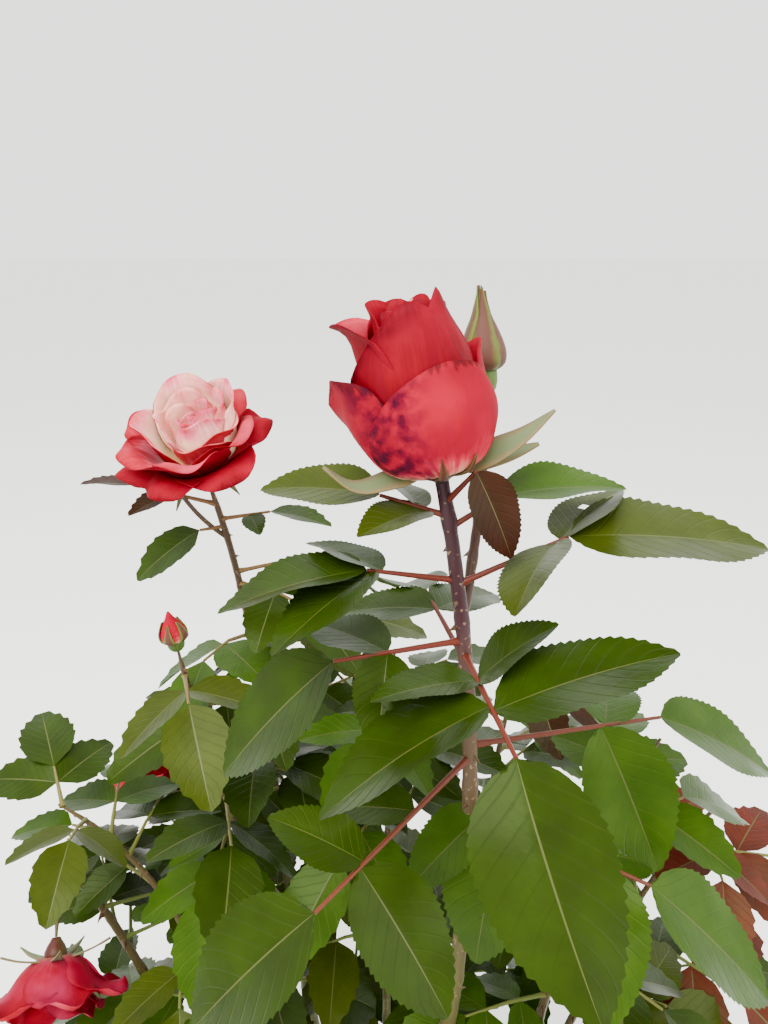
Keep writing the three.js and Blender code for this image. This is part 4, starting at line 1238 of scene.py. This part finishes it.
# How a leaflet's edge is cut and where lines of vertices run across it, then how each one bends:
# fold, curl, wave, and where the wave starts.
PLAIN = dict(teeth=7, across=(-1, -0.024, 0.024, 1), tooth=0.08)
PLAIN_BENDS = ((0.22, 0.16, 0.012, 0), (0.14, 0.2, 0.016, 2), (0.3, 0.12, 0.012, 4))
FINE = dict(teeth=20, across=(-1, -0.7, -0.4, -0.16, -0.015, 0.015, 0.16, 0.4, 0.7, 1), tooth=0.055)
FINE_BENDS = ((0.2, 0.16, 0.014, 0), (0.26, 0.18, 0.018, 2), (0.16, 0.14, 0.02, 4))
HOLE = {(20, 6), (21, 6), (22, 6), (21, 5)}
plain = [leaflet_shape("leaflet_plain", bend, **PLAIN) for bend in PLAIN_BENDS]
fine = [leaflet_shape("leaflet_fine", bend, **FINE) for bend in FINE_BENDS]
holed = leaflet_shape("leaflet_holed", (0.22, 0.16, 0.014, 1), **FINE, missing=HOLE)
PLAIN_SHAPES = shape_set("plain_leaflets", plain)
FINE_SHAPES = shape_set("fine_leaflets", [*fine, holed])
PRICKLE_SHAPES = shape_set("prickle_shapes", [prickle_shape("prickle")])


def show_limbs(name, lines, sides, relief, skin, nodes, grain=300.0):
    made = grown(name, LIMBS, line_mesh(name, lines), Sides=sides, Relief=relief, Grain=grain, Skin=skin)
    dressed(made, nodes)


def show_scattered(name, spots, shapes, nodes, under, rib, skins):
    made = grown(name, LEAFLETS, spot_mesh(name, spots), Shapes=shapes, Under=under, Rib=rib, **skins)
    dressed(made, nodes)


# The foliage masses: leaves in one piece, stem and stalks in two more.
for name, (cane, key) in SHOOTS.items():
    node = [f"foliage_{name}"]
    spots = [
        (*blade, int(len(plain) * chance(key, n, k, SHAPE_KEY)), leaf["tint"])
        for n, (leaf, plan) in enumerate(MASSES[name])
        for k, blade in enumerate(plan[1])
    ]
    show_scattered(f"leaves_{name}", spots, PLAIN_SHAPES, node, LEAF_UNDER, LEAF_RIB, LEAF_SKINS)
    lines = [cane_line(cane, cane.leafy, 1, key, taper=0.5)]
    if name == "left":
        lines.append(side_twig(cane))
    show_limbs(f"stem_{name}", lines, 10, 0.0004, YOUNG_BARK, node)
    stalks = [stalk_line(plan) for _, plan in MASSES[name]]
    show_limbs(f"stalks_{name}", stalks, 6, 0.0001, STALK_GREEN, node)

# The lone leaves, in finer leaflets.
lone_nodes = [f"leaf_{name}" for name in LONE]
spots = []
for n, (name, (leaf, plan)) in enumerate(LONE.items()):
    for k, blade in enumerate(plan[1]):
        shape = len(fine) if (name, k) == HOLED_LEAFLET else (n + k) % len(fine)
        spots.append((*blade, shape, leaf["tint"]))
show_scattered("fan_leaves", spots, FINE_SHAPES, lone_nodes, LEAF_UNDER, LEAF_RIB, LEAF_SKINS)
stalks = [stalk_line(plan) for _, plan in LONE.values()]
show_limbs("fan_stalks", stalks, 12, 0.0002, STALK_RED, lone_nodes)

# Canes.
for group, skin, slot in (("old", BARK, "cane_bark"), ("young", YOUNG_BARK, "young_cane")):
    canes = {name: cane for name, cane in CANES.items() if bool(cane.on) == (group == "young")}
    lines = [cane_line(cane, 0, cane.leafy, CANE_KEY + k) for k, cane in enumerate(canes.values())]
    nodes = [f"cane_{name}" for name in canes]
    show_limbs(f"canes_{group}", lines, 20, 0.0009, skin, nodes, grain=140.0)

# Prickles, scattered on the canes and leaning down them.
PRICKLE_SPACING = 17
PRICKLE_SPREAD = 0.94  # share of the cane that bears them
BARE_FOOT = 60
spots = []
for key, cane in enumerate(CANES.values()):
    count = int(cane.length * PRICKLE_SPREAD / PRICKLE_SPACING)
    for i in range(count):
        t = (i + chance(key, i, PRICKLE_PLACE_KEY)) / count * PRICKLE_SPREAD + 0.03
        if t * cane.length < BARE_FOOT and not cane.on:
            continue
        way = cane.way(t)
        side = turned(way.orthogonal().normalized(), way, 360 * chance(key, i, PRICKLE_TURN_KEY))
        size = between(2.4, 5.2, key, i, PRICKLE_SIZE_KEY) * min(1, cane.radius(t) / 2.4)
        base = cane.point(t) + side * cane.radius(t) * 0.95
        spots.append((base, way, side, size, 0, 0))
horn = {tint: PRICKLE for tint in LEAF_SKINS}
show_scattered("prickles", spots, PRICKLE_SHAPES, [], PRICKLE, PRICKLE, horn)

# The foot: root flare, waist and graft knuckle, ridged and flat at the ground.
FOOT_PROFILE = ((0, 0), (23, 0), (21.6, 2), (19, 4), (17, 6.4), (15.2, 10), (14, 16), (15, 22), (18, 29),
                (20.6, 34), (21, 38), (19.6, 44), (17, 48.5), (12, 52), (6, 53.6), (0, 54))
FOOT_CUTS = 4  # parts that each step of the profile is cut into


def foot_relief(p, turn):
    if p.z <= 0 or p.xy.length < 1:
        return p
    ridges = 0.7 * math.sin(5 * turn + p.z / 9) + 0.5 * math.sin(9 * turn - p.z / 13)
    rough = noise.noise(Vector((p.x * 0.12, p.y * 0.12, p.z * 0.05))) * 1.6 + noise.noise(p * 0.5) * 0.6
    out = Vector((math.cos(turn), math.sin(turn), 0))
    return p + out * (ridges + rough - 0.8)


def foot_wood():
    finer = []
    for (r0, z0), (r1, z1) in zip(FOOT_PROFILE, FOOT_PROFILE[1:]):
        finer += [(mix(r0, r1, k / FOOT_CUTS), mix(z0, z1, k / FOOT_CUTS)) for k in range(FOOT_CUTS)]
    bm = bmesh.new()
    revolve(bm, [*finer, FOOT_PROFILE[-1]], 64, 0, foot_relief)
    return finished(bm, "foot_wood")


shown("foot_wood", foot_wood(), [FOOT_BARK], ["foot"])

# Blooms and buds.
for name in BLOOMS:
    shown(f"{name}_petals", bloom_petals(name), PETALS.values(), [name])
    shown(f"{name}_calyx", bloom_calyx(name), [SEPAL_GREY, HIP_RED, SEPAL_RUST], [name])
for name, (_, _, petals_show) in BUDS.items():
    heart = PETALS[CRIMSON] if petals_show else SEPAL_BROWN
    shown(f"{name}_solid", bud_solid(name), [CUP_GREEN, heart, SEPAL_BROWN], [name])

for shapes in (PLAIN_SHAPES, FINE_SHAPES, PRICKLE_SHAPES):
    for template in list(shapes.objects):
        bpy.data.objects.remove(template)
    bpy.data.collections.remove(shapes)


# Stage: a wide pale floor, a soft sky and two lamps.
def floor(radius, drop):
    """A round floor, off-white and a little uneven in tone, just under the foot."""
    bm = bmesh.new()
    bmesh.ops.create_circle(bm, cap_ends=True, segments=96, radius=radius)
    mesh = bpy.data.meshes.new("floor")
    bm.to_mesh(mesh)
    bm.free()
    made = linked("floor", mesh)
    made.location.z = -drop
    skin = Skin("floor", Roughness=0.9)
    skin.set("Base Color", skin.blend(skin.cloud(6.0), "fafaf8", "f6f6f2"))
    mesh.materials.append(skin.made)


def lamp(name, place, aim, size, power):
    data = bpy.data.lights.new(name, "AREA")
    data.shape = "DISK"
    data.size = size
    data.energy = power
    made = linked(name, data)
    made.location = place
    made.rotation_euler = (Vector(aim) - Vector(place)).to_track_quat("-Z", "Y").to_euler()


floor(40, 0.002)
lamp("sky", (-0.5, -1.0, 2.2), (0, 0, 0.45), 2.0, 125)
lamp("fill", (1.6, -0.6, 1.4), (0, 0, 0.4), 1.4, 20)
world = bpy.data.worlds.new("daylight")
bpy.context.scene.world = world
world.use_nodes = True
world.node_tree.nodes["Background"].inputs["Color"].default_value = rgb("ecedea")
world.node_tree.nodes["Background"].inputs["Strength"].default_value = 2.65

camera = linked("camera", bpy.data.cameras.new("camera"))
camera.data.lens = 26
camera.data.clip_start = 0.01
camera.location = (0, -0.330, 0.710)
camera.rotation_euler = (math.radians(70), 0, 0)
bpy.context.scene.camera = camera
